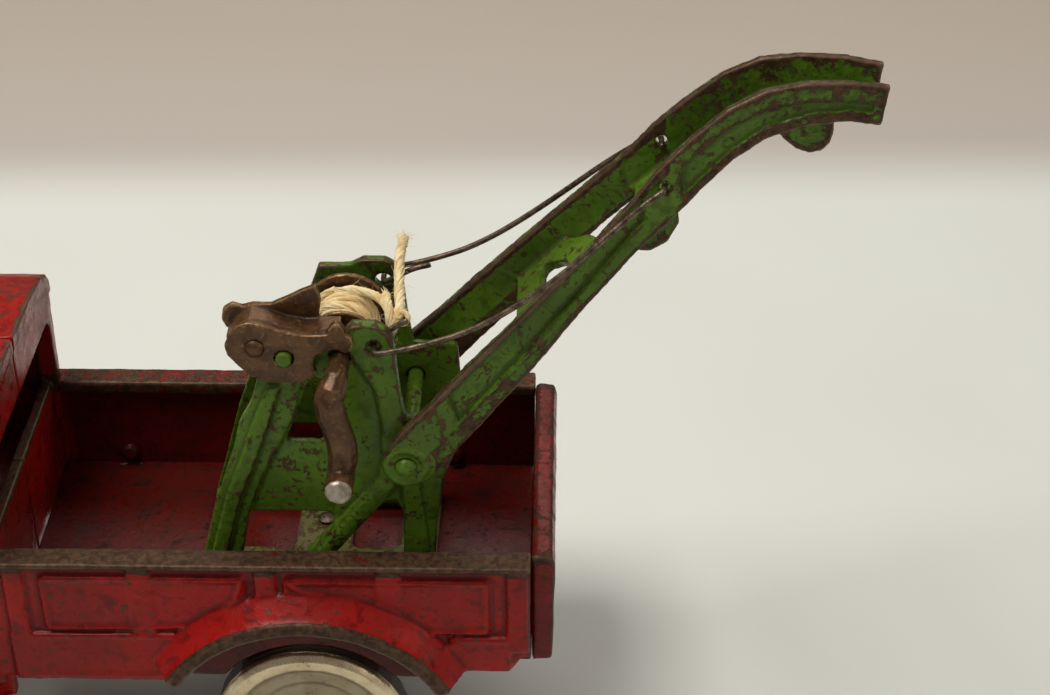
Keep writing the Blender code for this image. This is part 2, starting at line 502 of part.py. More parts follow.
def boom_loft(name, stations, inner, outer, up, down, mat=None, node=False):
    """Loft between half widths inner(w) and outer(w); up/down push the top and bottom edges."""
    bm = bmesh.new()
    rings = []
    for (tx, tz), (bx, bz), w in stations:
        d = Vector((tx - bx, 0, tz - bz)).normalized()
        t, b = Vector((tx, 0, tz)) + d * up, Vector((bx, 0, bz)) - d * down
        ring = []
        for p, u in ((t, inner(w)), (t, outer(w)), (b, outer(w)), (b, inner(w))):
            ring.append(bm.verts.new(((p.x + X_OFF) * MM, u * MM, p.z * MM)))
        rings.append(ring)
    for p, q in zip(rings, rings[1:]):
        for j in range(4):
            bm.faces.new((p[j], p[(j + 1) % 4], q[(j + 1) % 4], q[j]))
    bm.faces.new(rings[0])
    bm.faces.new(list(reversed(rings[-1])))
    return mesh_object(name, bm, mat, node)


def between(i, f):
    """Interpolated station, for openings that end between two stations."""
    a, b = BOOM[i], BOOM[i + 1]
    return (tuple(p + (q - p) * f for p, q in zip(a[0], b[0])), tuple(p + (q - p) * f for p, q in zip(a[1], b[1])),
            a[2] + (b[2] - a[2]) * f)


boom = boom_loft("boom", BOOM, lambda w: -w, lambda w: w, 0, 0, GREEN, True)
eye = cyl_y("t_boom_eye", PIVOT[0], PIVOT[1], 5.3, -21.3, 21.3, 32)
tab = side_plate("t_boom_tab", [[(118.4, 165.4), (119.4, 161.2), (121.6, 158.2), (124.2, 156.0), (127.2, 155.0),
                                 (129.6, 155.6), (131.2, 157.4), (131.7, 160.0), (131.6, 165.6)]], -3.4, 3.4)
lug = side_plate("t_boom_lug", [[(89.0, 137.6), (90.4, 134.4), (94.6, 134.0), (98.4, 136.6), (100.6, 141.2), (99.8, 147.0),
                                 (93.0, 142.0)]], -8.6, 8.6)
# the rails are open between them up to the stays; from there on they are joined by a floor
SLOT_FLOOR = 3.4          # thickness of that floor
gap = boom_loft("t_boom_gap", [((30.0, 81.0), (35.0, 70.0), 21.9)] + BOOM[1:7] + [between(7, 0.1)],
                lambda w: -(w - BOOM_RAIL), lambda w: w - BOOM_RAIL, 9, 9)
slot = boom_loft("t_boom_slot", [between(6, 0.7)] + BOOM[7:] + [((146.0, 171.2), (144.8, 162.3), 5.7)],
                 lambda w: -(w - 2.1), lambda w: w - 2.1, 4, -SLOT_FLOOR)
# channels along both outer sides: high up on the straight part, low down on the goose neck
chan = []
for s in (-1, 1):
    chan.append(boom_loft("t_boom_chan%d" % s, [between(2, 0.4)] + BOOM[3:8] + [between(7, 0.45)],
                          lambda w: s * (w - BOOM_RECESS), lambda w: s * (w + 3), -1.5, -4.8))
    chan.append(boom_loft("t_boom_nose%d" % s, [between(8, 0.62)] + BOOM[9:14] + [between(13, 0.7)],
                          lambda w: s * (w - 1.0), lambda w: s * (w + 3), -4.3, -2.4))
# the tie between the rails: a straight bar and an arch that points up the boom, round a window
TIE_AT, TIE_ANGLE, TIE_T = (67.0, 111.6), 48.0, 2.6
tie_rim = [(0.0, 15.6), (7.0, 15.0), (15.4, 14.0), (17.2, 11.8), (22.8, 6.5), (25.2, 3.0)]
tie_window = [(7.6, 8.4), (8.6, 9.7), (10.2, 9.3), (13.8, 6.1), (16.4, 3.0)]


def mirrored(half, tip):
    return half + [(tip, 0.0)] + [(a, -b) for a, b in reversed(half)]


tie_c, tie_s = math.cos(math.radians(TIE_ANGLE)), math.sin(math.radians(TIE_ANGLE))
tie = mesh_object("t_boom_tie", curve_mesh(
    outline("tie", [mirrored(tie_rim, 26.0), mirrored(tie_window, 17.4)], TIE_T),
    lambda a, y, h: ((TIE_AT[0] + a * tie_c - h * tie_s + X_OFF) * MM, y * MM,
                     (TIE_AT[1] + a * tie_s + h * tie_c) * MM)), None, False)
# the exact solver leaves open edges where the slot runs into the gap, so this casting uses the manifold one
join(boom, eye, lug, solver='MANIFOLD')
cut(boom, gap, slot, *chan, solver='MANIFOLD')
join(boom, tab, tie, solver='MANIFOLD')
cut(boom, cyl_y("t_boom_h1", PIVOT[0], PIVOT[1], PIVOT_R + GAP, -30, 30, 24),
    cyl_y("t_boom_h2", STAY_HOLE[0], STAY_HOLE[1], STAY_R + 0.5, -30, 30, 20), solver='MANIFOLD')

# pivot rod with a domed head at each end
HEAD = 21.3 + GAP
rod = [(0.0, HEAD + 1.7), (0.9, HEAD + 1.6), (1.8, HEAD + 1.15), (2.5, HEAD + 0.2), (2.5, HEAD), (PIVOT_R, HEAD)]
turned("boom_pivot_rod", rod + [(r, -h) for r, h in reversed(rod)],
       (((PIVOT[0] + X_OFF) * MM, 0, PIVOT[1] * MM), (math.radians(90), 0, 0)), 16, BRONZE)

# ---------------------------------------------------------------- stays
STUBS = {"left": [(43.2, 10.5, 117.5)], "right": [(47.0, 10.5, 118.6), (44.6, 10.5, 118.1)]}
for tag, s in (("left", -1), ("right", 1)):
    path = STUBS[tag] + [
        (42.2, 10.5, 117.2), (39.4, 10.7, 115.4), (36.6, 11.2, 113.6), (36.0, 12.2, 113.2), (36.0, 15.8, 113.2),
        (36.4, 17.2, 113.3), (38.4, 17.4, 113.7), (44.0, 17.4, 115.0), (50.0, 17.4, 116.9), (55.2, 17.5, 118.9),
        (61.0, 17.6, 122.1), (67.4, 17.6, 126.5), (75.8, 17.3, 133.2), (84.1, 15.9, 140.8), (90.0, 14.3, 146.0),
        (94.2, 13.1, 149.3), (96.4, 12.7, 150.7), (97.2, 11.6, 151.0), (97.2, 6.4, 151.0)]
    tube("stay_" + tag, [(x, s * u, z) for x, u, z in soften(path, 1)], STAY_R, STEEL, res=2)

# ---------------------------------------------------------------- winch
D_FAR, D_NEAR = 5.2, -8.6     # outer faces of the drum's flanges (Y)
drum = [(SHAFT_R + GAP, -D_FAR), (SHAFT_R + GAP, -D_NEAR), (7.6, -D_NEAR), (7.6, -D_NEAR - 1.3), (4.4, -D_NEAR - 1.3),
        (4.4, -D_FAR + 1.4), (9.2, -D_FAR + 1.4), (9.4, -D_FAR + 0.7), (9.2, -D_FAR)]
WINCH_AT = (((WINCH[0] + X_OFF) * MM, 0, WINCH[1] * MM), (math.radians(90), 0, 0))
turned("winch_drum", drum, WINCH_AT, 28, BRONZE)
# string wound on the drum: turns side by side, a little fuller in the middle
n_turn, w0, w1 = 6, -D_FAR + 1.4 + GAP, -D_NEAR - 1.3 - GAP
pitch = (w1 - w0) / n_turn
wind = [(4.4 + GAP, w0), (4.4 + GAP, w1)]
for i in range(n_turn):
    c = w1 - pitch * (i + 0.5)
    swell = 0.7 * math.sin(math.pi * (i + 0.5) / n_turn)
    for a in (55, 0, -55):
        wind.append((5.7 + swell + 0.8 * math.cos(math.radians(a)), c + pitch * 0.5 * math.sin(math.radians(a))))
turned("string_winding", wind, WINCH_AT, 24, COTTON)

# crank: shaft through both crane sides, neck, cast arm and grip in one piece
cx, cz = WINCH
CRANK_Y = -25.0           # the arm's centre line, outside the boom's rails and the pivot rod's head
crank = [  # centre line and radius, from the far end of the shaft to the end of the grip
    ((cx, 17.9, cz), 1.9), ((cx, -15.6, cz), 1.9), ((cx, -16.2, cz), 2.35), ((cx, -20.0, cz), 2.35),
    ((cx - 0.2, -22.6, cz - 0.3), 2.8), ((cx - 0.9, -24.4, cz - 1.8), 3.3), ((cx - 1.7, CRANK_Y, cz - 4.2), 3.4),
    ((cx - 1.4, CRANK_Y, cz - 7.0), 3.4), ((cx - 0.5, CRANK_Y, cz - 10.6), 3.1), ((cx + 0.5, CRANK_Y, cz - 15.2), 3.4),
    ((cx + 0.7, CRANK_Y, cz - 18.8), 3.4), ((cx + 0.2, CRANK_Y - 0.1, cz - 21.4), 3.25),
    ((cx, CRANK_Y - 0.9, cz - 23.0), 3.2), ((cx, CRANK_Y - 2.9, cz - 23.6), 3.2), ((cx, -30.8, cz - 23.6), 3.2),
    ((cx, -32.0, cz - 23.6), 3.0), ((cx, -32.5, cz - 23.6), 2.4)]
crank_path, rad = [c for c, r in crank], [r for c, r in crank]
set_origin(tube("crank", crank_path, 1.0, BRONZE, rad, res=3), WINCH[0], 0, WINCH[1])

# ---------------------------------------------------------------- pawl lever astride the near crane side
NEAR0, NEAR1, FAR0, FAR1 = 16.4, 18.0, 9.4, 10.9
near_out = [(4.4, 115.6), (5.9, 118.9), (7.6, 120.7), (9.7, 121.5), (13.2, 120.8), (16.9, 119.2), (21.0, 118.3),
            (30.4, 118.5), (31.8, 117.6), (32.0, 116.0), (31.4, 114.4), (30.2, 113.9), (28.4, 114.6), (26.4, 114.6),
            (24.6, 113.7), (23.2, 111.9), (23.2, 110.0), (24.0, 108.4), (22.6, 106.9), (20.3, 106.1), (13.8, 106.0),
            (9.7, 107.5), (6.9, 110.4), (4.9, 113.1)]
far_out = [(3.0, 117.6), (3.6, 120.4), (5.6, 121.7), (7.6, 120.9), (10.0, 121.6), (13.9, 121.6), (17.5, 123.4),
           (20.5, 125.0), (24.0, 126.6), (24.8, 122.8), (24.0, 118.2), (25.4, 114.8), (22.0, 113.4), (12.0, 114.0),
           (6.0, 114.6), (3.8, 115.6)]
lever = set_origin(side_plate("pawl_lever", [near_out], NEAR0, NEAR1, -1, mat=BRONZE, node=True),
                   PAWL[0], -(NEAR0 + NEAR1) / 2, PAWL[1])
far = side_plate("t_lever_far", [far_out], FAR0, FAR1, -1)
web_top = [(4.9, 117.6), (6.3, 119.2), (9.8, 121.4), (13.3, 120.6), (17.0, 119.0), (21.1, 118.2), (29.0, 118.4)]
web = side_plate("t_lever_web", [web_top + [(29.0, 117.3), (21.0, 117.1), (16.6, 117.9), (13.0, 119.3),
                                            (9.8, 119.9), (7.4, 118.2), (6.0, 116.6)]], FAR0 + 0.4, NEAR1 - 0.5, -1)
tongue = side_plate("t_lever_tongue", [[(26.6, 117.2), (26.8, 119.6), (28.0, 121.0), (29.3, 120.9), (30.2, 119.4),
                                        (30.2, 117.2)]], NEAR0 - 1.0, NEAR1 - 0.3, -1)
rivet_seat = cyl_y("t_lever_hole2", 10.9, 115.0, 1.0 + GAP, -19.0, -15.0, 20)
join(lever, web, far, tongue)
cut(lever, cyl_y("t_lever_hole", PAWL[0], PAWL[1], 1.75 + GAP, -20.0, -15.0, 24), rivet_seat,
    cyl_y("t_lever_hole3", 10.9, 116.6, 1.0 + GAP, -12.0, -9.0, 20))
# rivet through the lever's lobe
riv = [(0.0, 19.35), (0.9, 19.25), (1.7, 18.9), (2.2, 18.4), (2.2, 18.0 + GAP), (1.0, 18.0 + GAP), (1.0, 15.6), (0.0, 15.6)]
turned("pawl_rivet", riv, (((10.9 + X_OFF) * MM, 0, 115.0 * MM), (math.radians(90), 0, 0)), 16, BRONZE)

# ---------------------------------------------------------------- string off the drum, knot at the stay's hook, loose end
STRING_R = 1.0
lead_path = [(25.9, -0.3, 118.7), (28.6, 0.0, 119.1), (31.5, 0.0, 119.0), (34.5, -0.7, 118.6), (37.0, -2.3, 118.1),
             (38.6, -4.4, 117.6), (39.3, -6.2, 117.3)]
tube("string_lead", soften(lead_path, 1), STRING_R, COTTON, res=2)
bm = bmesh.new()
bmesh.ops.create_uvsphere(bm, u_segments=16, v_segments=10, radius=1.0)
for v in bm.verts:
    v.co = Vector(((40.7 + X_OFF + 2.6 * v.co.x) * MM, (-7.95 + 1.42 * v.co.y) * MM, (117.2 + 1.7 * v.co.z) * MM))
mesh_object("string_knot", bm, COTTON, True)
# the loose end lies across the crane, over the hook and the stay of the other side
tail_path = [(41.2, -6.2, 117.4), (41.0, -3.0, 117.2), (40.6, 1.0, 117.4), (40.3, 5.0, 118.2), (40.1, 8.0, 119.0),
             (40.0, 10.6, 119.5), (40.0, 13.4, 119.5), (40.1, 17.0, 119.0), (40.2, 21.0, 118.6), (40.3, 25.4, 118.4)]
tube("string_tail", soften(tail_path, 1), STRING_R, COTTON, res=2)

# ---------------------------------------------------------------- floor screws
for i, (sx, sy) in enumerate(SCREWS):
    p = [(0.0, Z_BASE1 + GAP + 1.0), (1.2, Z_BASE1 + GAP + 0.85), (2.2, Z_BASE1 + GAP + 0.3), (2.2, Z_BASE1 + GAP),
         (1.3, Z_BASE1 + GAP), (1.3, 42.6), (0.0, 42.6)]
    turned("floor_screw_" + ("right" if sy > 0 else "left"), p, (((sx + X_OFF) * MM, sy * MM, 0), (0, 0, 0)), 16, STEEL)

# ---------------------------------------------------------------- axles, wheels
for tag, ax in (("rear", REAR_AXLE_X), ("front", FRONT_AXLE_X)):
    h = WHEEL_OUT + GAP
    p = [(0.0, h + 2.0), (1.4, h + 1.8), (2.4, h + 1.1), (2.9, h + 0.2), (2.9, h), (AXLE_R, h)]
    turned("axle_" + tag, p + [(r, -z) for r, z in reversed(p)],
           (((ax + X_OFF) * MM, 0, WHEEL_R * MM), (math.radians(90), 0, 0)), 16, STEEL)
    for sname, s in (("left", 1), ("right", -1)):
        w0, w1 = WHEEL_IN, WHEEL_OUT
        wheel = [(AXLE_R + GAP, w0), (AXLE_R + GAP, w1), (5.6, w1), (6.4, w1 - 0.8), (7.4, w1 - 1.8), (12.6, w1 - 2.2),
                 (13.6, w1 - 1.4), (17.2, w1 - 1.2), (18.0, w1 - 0.3), (20.6, w1), (21.2, w1 - 0.5), (WHEEL_R, w1 - 1.3),
                 (WHEEL_R, w0 + 0.8), (21.6, w0), (18.6, w0), (17.6, w0 + 3.2), (6.4, w0 + 3.6), (5.6, w0)]
        turned("wheel_" + tag + "_" + sname, [(r, s * z) for r, z in wheel],
               (((ax + X_OFF) * MM, 0, WHEEL_R * MM), (math.radians(90), 0, 0)), 32, NICKEL)
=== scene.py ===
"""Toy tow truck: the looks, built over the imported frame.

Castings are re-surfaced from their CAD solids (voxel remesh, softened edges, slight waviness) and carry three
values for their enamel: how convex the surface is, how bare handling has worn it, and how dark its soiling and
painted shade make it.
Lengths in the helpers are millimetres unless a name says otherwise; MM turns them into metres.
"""
import json
import math
import random
import bpy
import bmesh
import numpy as np
from mathutils import Matrix, Vector, noise


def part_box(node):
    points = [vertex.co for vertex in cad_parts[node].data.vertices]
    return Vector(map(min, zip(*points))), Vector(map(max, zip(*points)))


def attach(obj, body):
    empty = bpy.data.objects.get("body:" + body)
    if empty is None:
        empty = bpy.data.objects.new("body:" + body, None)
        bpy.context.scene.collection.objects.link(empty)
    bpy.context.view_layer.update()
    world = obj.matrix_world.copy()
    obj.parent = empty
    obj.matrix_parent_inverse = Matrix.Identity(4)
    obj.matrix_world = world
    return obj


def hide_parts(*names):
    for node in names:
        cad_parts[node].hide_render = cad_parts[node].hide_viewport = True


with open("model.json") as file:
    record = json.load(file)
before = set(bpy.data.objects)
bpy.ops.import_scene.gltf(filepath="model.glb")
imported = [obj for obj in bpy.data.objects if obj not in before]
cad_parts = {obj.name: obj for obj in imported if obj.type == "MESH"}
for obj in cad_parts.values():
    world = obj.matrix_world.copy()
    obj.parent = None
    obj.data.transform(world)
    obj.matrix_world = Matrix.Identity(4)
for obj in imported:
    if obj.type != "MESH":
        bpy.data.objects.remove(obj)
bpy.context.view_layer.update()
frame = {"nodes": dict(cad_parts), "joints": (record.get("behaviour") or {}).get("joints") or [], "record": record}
NODES = frame["nodes"]
BODY_OF = {n: b for b, names in frame["record"]["behaviour"]["bodies"].items() for n in names}
JOINTS = {j["name"]: j for j in frame["joints"]}
MM = 0.001
X_OFF = 2.9               # the truck's own X zero, from the frame's origin

# ---------------------------------------------------------------- camera
PITCH, YAW, ROLL = 0.597065, 0.0204599, -0.00279231
CAMERA_AT = Vector((0.078773, -0.378075, 0.360745))


def make_camera():
    data = bpy.data.cameras.new("camera")
    data.sensor_width = 36.0
    data.lens = 70.41
    data.clip_start = 0.01
    data.clip_end = 20.0
    cam = bpy.data.objects.new("camera", data)
    bpy.context.scene.collection.objects.link(cam)
    cam.matrix_world = (Matrix.Translation(CAMERA_AT) @ Matrix.Rotation(YAW, 4, 'Z')
                        @ Matrix.Rotation(math.pi / 2 - PITCH, 4, 'X') @ Matrix.Rotation(ROLL, 4, 'Z'))
    bpy.context.scene.camera = cam


make_camera()


# ---------------------------------------------------------------- node material helpers
class Shader:
    """A small builder for node materials; sockets are passed around, numbers are set in place."""

    def __init__(self, name):
        self.mat = bpy.data.materials.new(name)
        self.mat.use_nodes = True
        self.tree = self.mat.node_tree
        self.bsdf = self.tree.nodes["Principled BSDF"]
        coord = self.tree.nodes.new("ShaderNodeTexCoord")
        scale = self.tree.nodes.new("ShaderNodeMapping")
        scale.inputs["Scale"].default_value = (1000.0, 1000.0, 1000.0)
        self.tree.links.new(coord.outputs["Object"], scale.inputs["Vector"])
        self.mm = scale.outputs["Vector"]

    def put(self, socket, value):
        if isinstance(value, bpy.types.NodeSocket):
            self.tree.links.new(value, socket)
        elif isinstance(value, (tuple, list)) and len(value) == 3 and socket.type == 'RGBA':
            socket.default_value = (*value, 1.0)
        else:
            socket.default_value = value

    def noise(self, scale, detail=3.0, rough=0.55, distort=0.0, vector=None):
        n = self.tree.nodes.new("ShaderNodeTexNoise")
        n.inputs["Scale"].default_value = scale
        n.inputs["Detail"].default_value = detail
        n.inputs["Roughness"].default_value = rough
        n.inputs["Distortion"].default_value = distort
        self.put(n.inputs["Vector"], vector or self.mm)
        return n.outputs["Fac"]

    def axis(self, name):
        """One of the object's own coordinates, in mm."""
        n = self.tree.nodes.new("ShaderNodeSeparateXYZ")
        self.put(n.inputs["Vector"], self.mm)
        return n.outputs[name]

    def attribute(self, name):
        n = self.tree.nodes.new("ShaderNodeAttribute")
        n.attribute_name = name
        return n.outputs["Fac"]

    def math(self, op, a, b=0.0, c=0.0):
        n = self.tree.nodes.new("ShaderNodeMath")
        n.operation = op
        for socket, value in zip(n.inputs, (a, b, c)):
            self.put(socket, value)
        return n.outputs["Value"]

    def ramp(self, value, lo, hi, out_lo=0.0, out_hi=1.0):
        n = self.tree.nodes.new("ShaderNodeMapRange")
        n.interpolation_type = 'SMOOTHSTEP'
        self.put(n.inputs["Value"], value)
        for key, number in (("From Min", lo), ("From Max", hi), ("To Min", out_lo), ("To Max", out_hi)):
            n.inputs[key].default_value = number
        return n.outputs["Result"]

    def mix(self, fac, a, b):
        n = self.tree.nodes.new("ShaderNodeMix")
        n.data_type = 'RGBA'
        self.put(n.inputs[0], fac)
        self.put(n.inputs[6], a)
        self.put(n.inputs[7], b)
        return n.outputs[2]

    def between(self, fac, a, b):
        n = self.tree.nodes.new("ShaderNodeMix")
        n.data_type = 'FLOAT'
        for socket, value in zip(n.inputs[:1] + n.inputs[2:4], (fac, a, b)):
            self.put(socket, value)
        return n.outputs[0]

    def bump(self, height, distance, strength=1.0):
        n = self.tree.nodes.new("ShaderNodeBump")
        n.inputs["Strength"].default_value = strength
        n.inputs["Distance"].default_value = distance
        self.put(n.inputs["Height"], height)
        return n.outputs["Normal"]

    def finish(self, color, rough, metal, normal=None, **fixed):
        self.put(self.bsdf.inputs["Base Color"], color)
        self.put(self.bsdf.inputs["Roughness"], rough)
        self.put(self.bsdf.inputs["Metallic"], metal)
        if normal is not None:
            self.put(self.bsdf.inputs["Normal"], normal)
        for key, value in fixed.items():
            self.put(self.bsdf.inputs[key.replace("_", " ")], value)
        return self.mat


def worn_enamel(name, paint, paint_dull, paint_dark, chips, edge, shade_and_grime, gloss,
                soot_and_shade_color=(0.032, 0.007, 0.005)):
    """Old enamel over cast iron: paint that dulls and darkens, painted shade and soiling in its hollows, chips,
    and edges rubbed down to the iron.
    """
    s = Shader(name)
    convex, bare, soot_and_shade = s.attribute("convex"), s.attribute("bare"), s.attribute("soot_and_shade")
    broad, patch = s.noise(0.045, 3.0), s.noise(0.22, 5.0, 0.62, 0.6)
    chip, grain = s.noise(0.62, 6.0, 0.68, 0.4), s.noise(2.6, 4.0, 0.6)
    ragged = s.math('MULTIPLY_ADD', s.math('SUBTRACT', chip, 0.5), 1.3,
                    s.math('MULTIPLY', s.math('SUBTRACT', patch, 0.5), 1.4))
    # rubbed edges: convex places, made ragged; handling wear adds to them
    rubbed = s.math('ADD', s.math('MULTIPLY', convex, edge), bare)
    rubbed = s.math('ADD', rubbed, ragged)
    rub = s.ramp(rubbed, 0.46, 0.56)
    halo = s.ramp(rubbed, 0.26, 0.50)
    fleck = s.ramp(s.math('MULTIPLY_ADD', s.math('SUBTRACT', patch, 0.5), 0.8, chip),
                   1.0 - chips, 1.02 - chips)
    wear = s.math('MAXIMUM', rub, s.math('MULTIPLY', fleck, s.ramp(bare, -0.9, -0.3)))
    paint_mix = s.mix(s.ramp(broad, 0.38, 0.60), paint, paint_dull)
    # painted shade in the hollows, with soiling in random patches, darkens the paint
    hollow = s.ramp(convex, -0.08, -0.50)
    hollow_shade_and_dirt = s.math('MULTIPLY', s.math('MAXIMUM', hollow, s.ramp(patch, 0.50, 0.30)), shade_and_grime)
    paint_mix = s.mix(hollow_shade_and_dirt, paint_mix, paint_dark)
    paint_mix = s.mix(s.math('MULTIPLY', halo, 0.5), paint_mix, paint_dark)
    iron = s.mix(s.ramp(chip, 0.36, 0.64), (0.032, 0.015, 0.009), (0.096, 0.050, 0.027))
    # bare iron is painted lighter where it stands out, a painted highlight on its edges
    iron = s.mix(s.ramp(convex, 0.45, 1.10, 0.0, 0.8), iron, (0.170, 0.110, 0.068))
    iron = s.mix(s.ramp(grain, 0.50, 0.66, 0.0, 0.55), iron, (0.050, 0.032, 0.021))
    color = s.mix(wear, paint_mix, iron)
    # soiling, and painted shade inside the bed and cab, under the arches and on the rear ends, blacken the colour
    color = s.mix(s.math('MULTIPLY', soot_and_shade, s.ramp(patch, 0.30, 0.70, 0.70, 0.97)), color, soot_and_shade_color)
    rough_paint = s.ramp(patch, 0.30, 0.70, gloss - 0.08, gloss + 0.12)
    rough = s.between(wear, rough_paint, s.ramp(grain, 0.30, 0.70, 0.38, 0.56))
    height = s.math('MULTIPLY_ADD', wear, -0.55,
                    s.math('MULTIPLY_ADD', chip, 0.50, s.math('MULTIPLY', grain, 0.22)))
    return s.finish(color, rough, s.math('MULTIPLY', wear, 0.35), s.bump(height, 0.00014),
                    Specular_IOR_Level=0.20)


def bronzed_iron(name, dark, mid, bright):
    """Iron with a brown bronzed finish, rubbed bright on its edges with a painted highlight there, with a cast
    pebble.
    """
    s = Shader(name)
    convex, bare = s.attribute("convex"), s.attribute("bare")
    patch, pebble, grain = s.noise(0.26, 4.0, 0.55, 0.5), s.noise(1.1, 3.0, 0.5), s.noise(4.5, 3.0, 0.6)
    tone = s.mix(s.ramp(patch, 0.36, 0.66), dark, mid)
    tone = s.mix(s.ramp(pebble, 0.56, 0.74, 0.0, 0.35), tone, bright)
    tone = s.mix(s.ramp(convex, -0.08, -0.5, 0.0, 0.8), tone, (0.030, 0.018, 0.010))
    # edges where it stands out are painted bright: rubbed finish and painted highlight together
    edge = s.math('MULTIPLY_ADD', s.math('SUBTRACT', pebble, 0.5), 0.9, s.math('MULTIPLY', convex, 0.8))
    edge = s.ramp(edge, 0.50, 0.92)
    tone = s.mix(s.math('MULTIPLY', edge, 0.6), tone, bright)
    silver = s.ramp(s.math('MULTIPLY_ADD', s.math('SUBTRACT', pebble, 0.5), 0.8, bare), 0.55, 0.80)
    tone = s.mix(silver, tone, s.mix(s.ramp(patch, 0.40, 0.62), (0.42, 0.36, 0.30), (0.22, 0.17, 0.13)))
    rough = s.ramp(grain, 0.30, 0.70, 0.33, 0.46)
    height = s.math('MULTIPLY_ADD', pebble, 0.6, s.math('MULTIPLY', grain, 0.12))
    return s.finish(tone, rough, 0.45, s.bump(height, 0.00016))


def plated(name):
    """Nickel plate gone yellow, with small dark pits; bare iron where the plate never reached."""
    s = Shader(name)
    patch, pit, fine = s.noise(0.16, 4.0, 0.6), s.noise(1.9, 4.0, 0.6), s.noise(5.0, 3.0)
    tone = s.mix(s.ramp(patch, 0.35, 0.65), (0.74, 0.62, 0.42), (0.56, 0.45, 0.28))
    tone = s.mix(s.ramp(fine, 0.52, 0.70, 0.0, 0.25), tone, (0.30, 0.24, 0.16))
    spots = s.ramp(s.math('MULTIPLY_ADD', s.math('SUBTRACT', patch, 0.5), 0.9, pit), 0.66, 0.72)
    tone = s.mix(spots, tone, (0.10, 0.075, 0.05))
    tone = s.mix(s.ramp(s.attribute("convex"), -0.05, -0.6, 0.0, 0.9), tone, (0.040, 0.030, 0.020))
    # the bare attribute darkens the wheels' tread and inside: bare iron, with painted shade under the fenders
    iron = s.attribute("bare")
    tone = s.mix(iron, tone, (0.052, 0.036, 0.026))
    rough = s.between(s.math('MAXIMUM', spots, iron), s.ramp(fine, 0.3, 0.7, 0.24, 0.38), 0.62)
    height = s.math('MULTIPLY_ADD', spots, -0.6, s.math('MULTIPLY', fine, 0.18))
    metal = s.math('SUBTRACT', 0.9, s.math('MULTIPLY', s.math('MAXIMUM', spots, iron), 0.6))
    return s.finish(tone, rough, metal, s.bump(height, 0.00010))


def wire(name, dark, light):
    """Drawn wire: brown oxide with a brighter rubbed side."""
    s = Shader(name)
    patch, fine = s.noise(0.45, 4.0, 0.65), s.noise(3.2, 4.0)
    tone = s.mix(s.ramp(patch, 0.36, 0.62), dark, light)
    tone = s.mix(s.ramp(fine, 0.54, 0.66, 0.0, 0.7), tone, (0.030, 0.020, 0.014))
    return s.finish(tone, s.ramp(fine, 0.3, 0.7, 0.28, 0.48), 0.8, s.bump(fine, 0.00010))


def cotton(name):
    """Cream cotton yarn: pale crowns, tan where it is soiled."""
    s = Shader(name)
    patch, fibre = s.noise(0.16, 4.0, 0.6), s.noise(1.8, 5.0, 0.7)
    tone = s.mix(s.ramp(patch, 0.38, 0.66), (0.90, 0.76, 0.47), (0.76, 0.55, 0.25))
    tone = s.mix(s.ramp(fibre, 0.52, 0.74, 0.0, 0.45), tone, (0.50, 0.33, 0.14))
    return s.finish(tone, 0.92, 0.0, s.bump(fibre, 0.00014), Sheen_Weight=0.25, Sheen_Roughness=0.5,
                    Subsurface_Weight=0.08, Subsurface_Scale=0.001)


RED = worn_enamel("red_enamel", (0.335, 0.006, 0.004), (0.225, 0.007, 0.005), (0.060, 0.004, 0.003),
                  chips=0.352, edge=0.50, shade_and_grime=0.70, gloss=0.29)
GREEN = worn_enamel("green_enamel", (0.098, 0.190, 0.015), (0.072, 0.134, 0.013), (0.024, 0.036, 0.006),
                    chips=0.385, edge=0.62, shade_and_grime=0.60, gloss=0.28, soot_and_shade_color=(0.030, 0.024, 0.014))
OLIVE = worn_enamel("worn_green_iron", (0.110, 0.120, 0.026), (0.105, 0.086, 0.030), (0.040, 0.034, 0.014),
                    chips=0.46, edge=0.70, shade_and_grime=0.5, gloss=0.40)
BRONZE = bronzed_iron("bronzed_iron", (0.064, 0.028, 0.011), (0.128, 0.060, 0.022), (0.38, 0.23, 0.10))
NICKEL = plated("nickel_plate")
STEEL = wire("aged_steel", (0.070, 0.048, 0.033), (0.200, 0.150, 0.105))
COTTON = cotton("cotton_string")


# ---------------------------------------------------------------- mesh helpers
def link(obj):
    bpy.context.scene.collection.objects.link(obj)
    return obj


def baked(obj):
    """The object's mesh with its modifiers applied."""
    deps = bpy.context.evaluated_depsgraph_get()
    return bpy.data.meshes.new_from_object(obj.evaluated_get(deps))


def modifier(obj, kind, **settings):
    m = obj.modifiers.new(kind.lower(), kind)
    for key, value in settings.items():
        setattr(m, key, value)
    return m


def coords(mesh):
    co = np.empty(len(mesh.vertices) * 3, np.float32)
    mesh.vertices.foreach_get("co", co)
    return co.reshape(-1, 3).astype(float)


def normals(mesh):
    no = np.empty(len(mesh.vertices) * 3, np.float32)
    mesh.vertex_normals.foreach_get("vector", no)
    return no.reshape(-1, 3).astype(float)


def set_coords(mesh, co):
    mesh.vertices.foreach_set("co", co.astype(np.float32).ravel())
    mesh.update()


def relaxed(mesh, co, rounds, factor=0.6):
    """Points moved towards the mean of their neighbours, rounds times."""
    edges = np.empty(len(mesh.edges) * 2, np.int32)
    mesh.edges.foreach_get("vertices", edges)
    a, b = edges.reshape(-1, 2).T
    count = np.bincount(a, minlength=len(co)) + np.bincount(b, minlength=len(co))
    count = np.maximum(count, 1)[:, None]
    for _ in range(rounds):
        total = np.empty_like(co)
        for k in range(3):
            total[:, k] = (np.bincount(a, co[b, k], len(co)) + np.bincount(b, co[a, k], len(co)))
        co = co + (total / count - co) * factor
    return co


def write_attribute(mesh, name, values):
    layer = mesh.attributes.new(name, 'FLOAT', 'POINT')
    layer.data.foreach_set("value", np.asarray(values, np.float32))


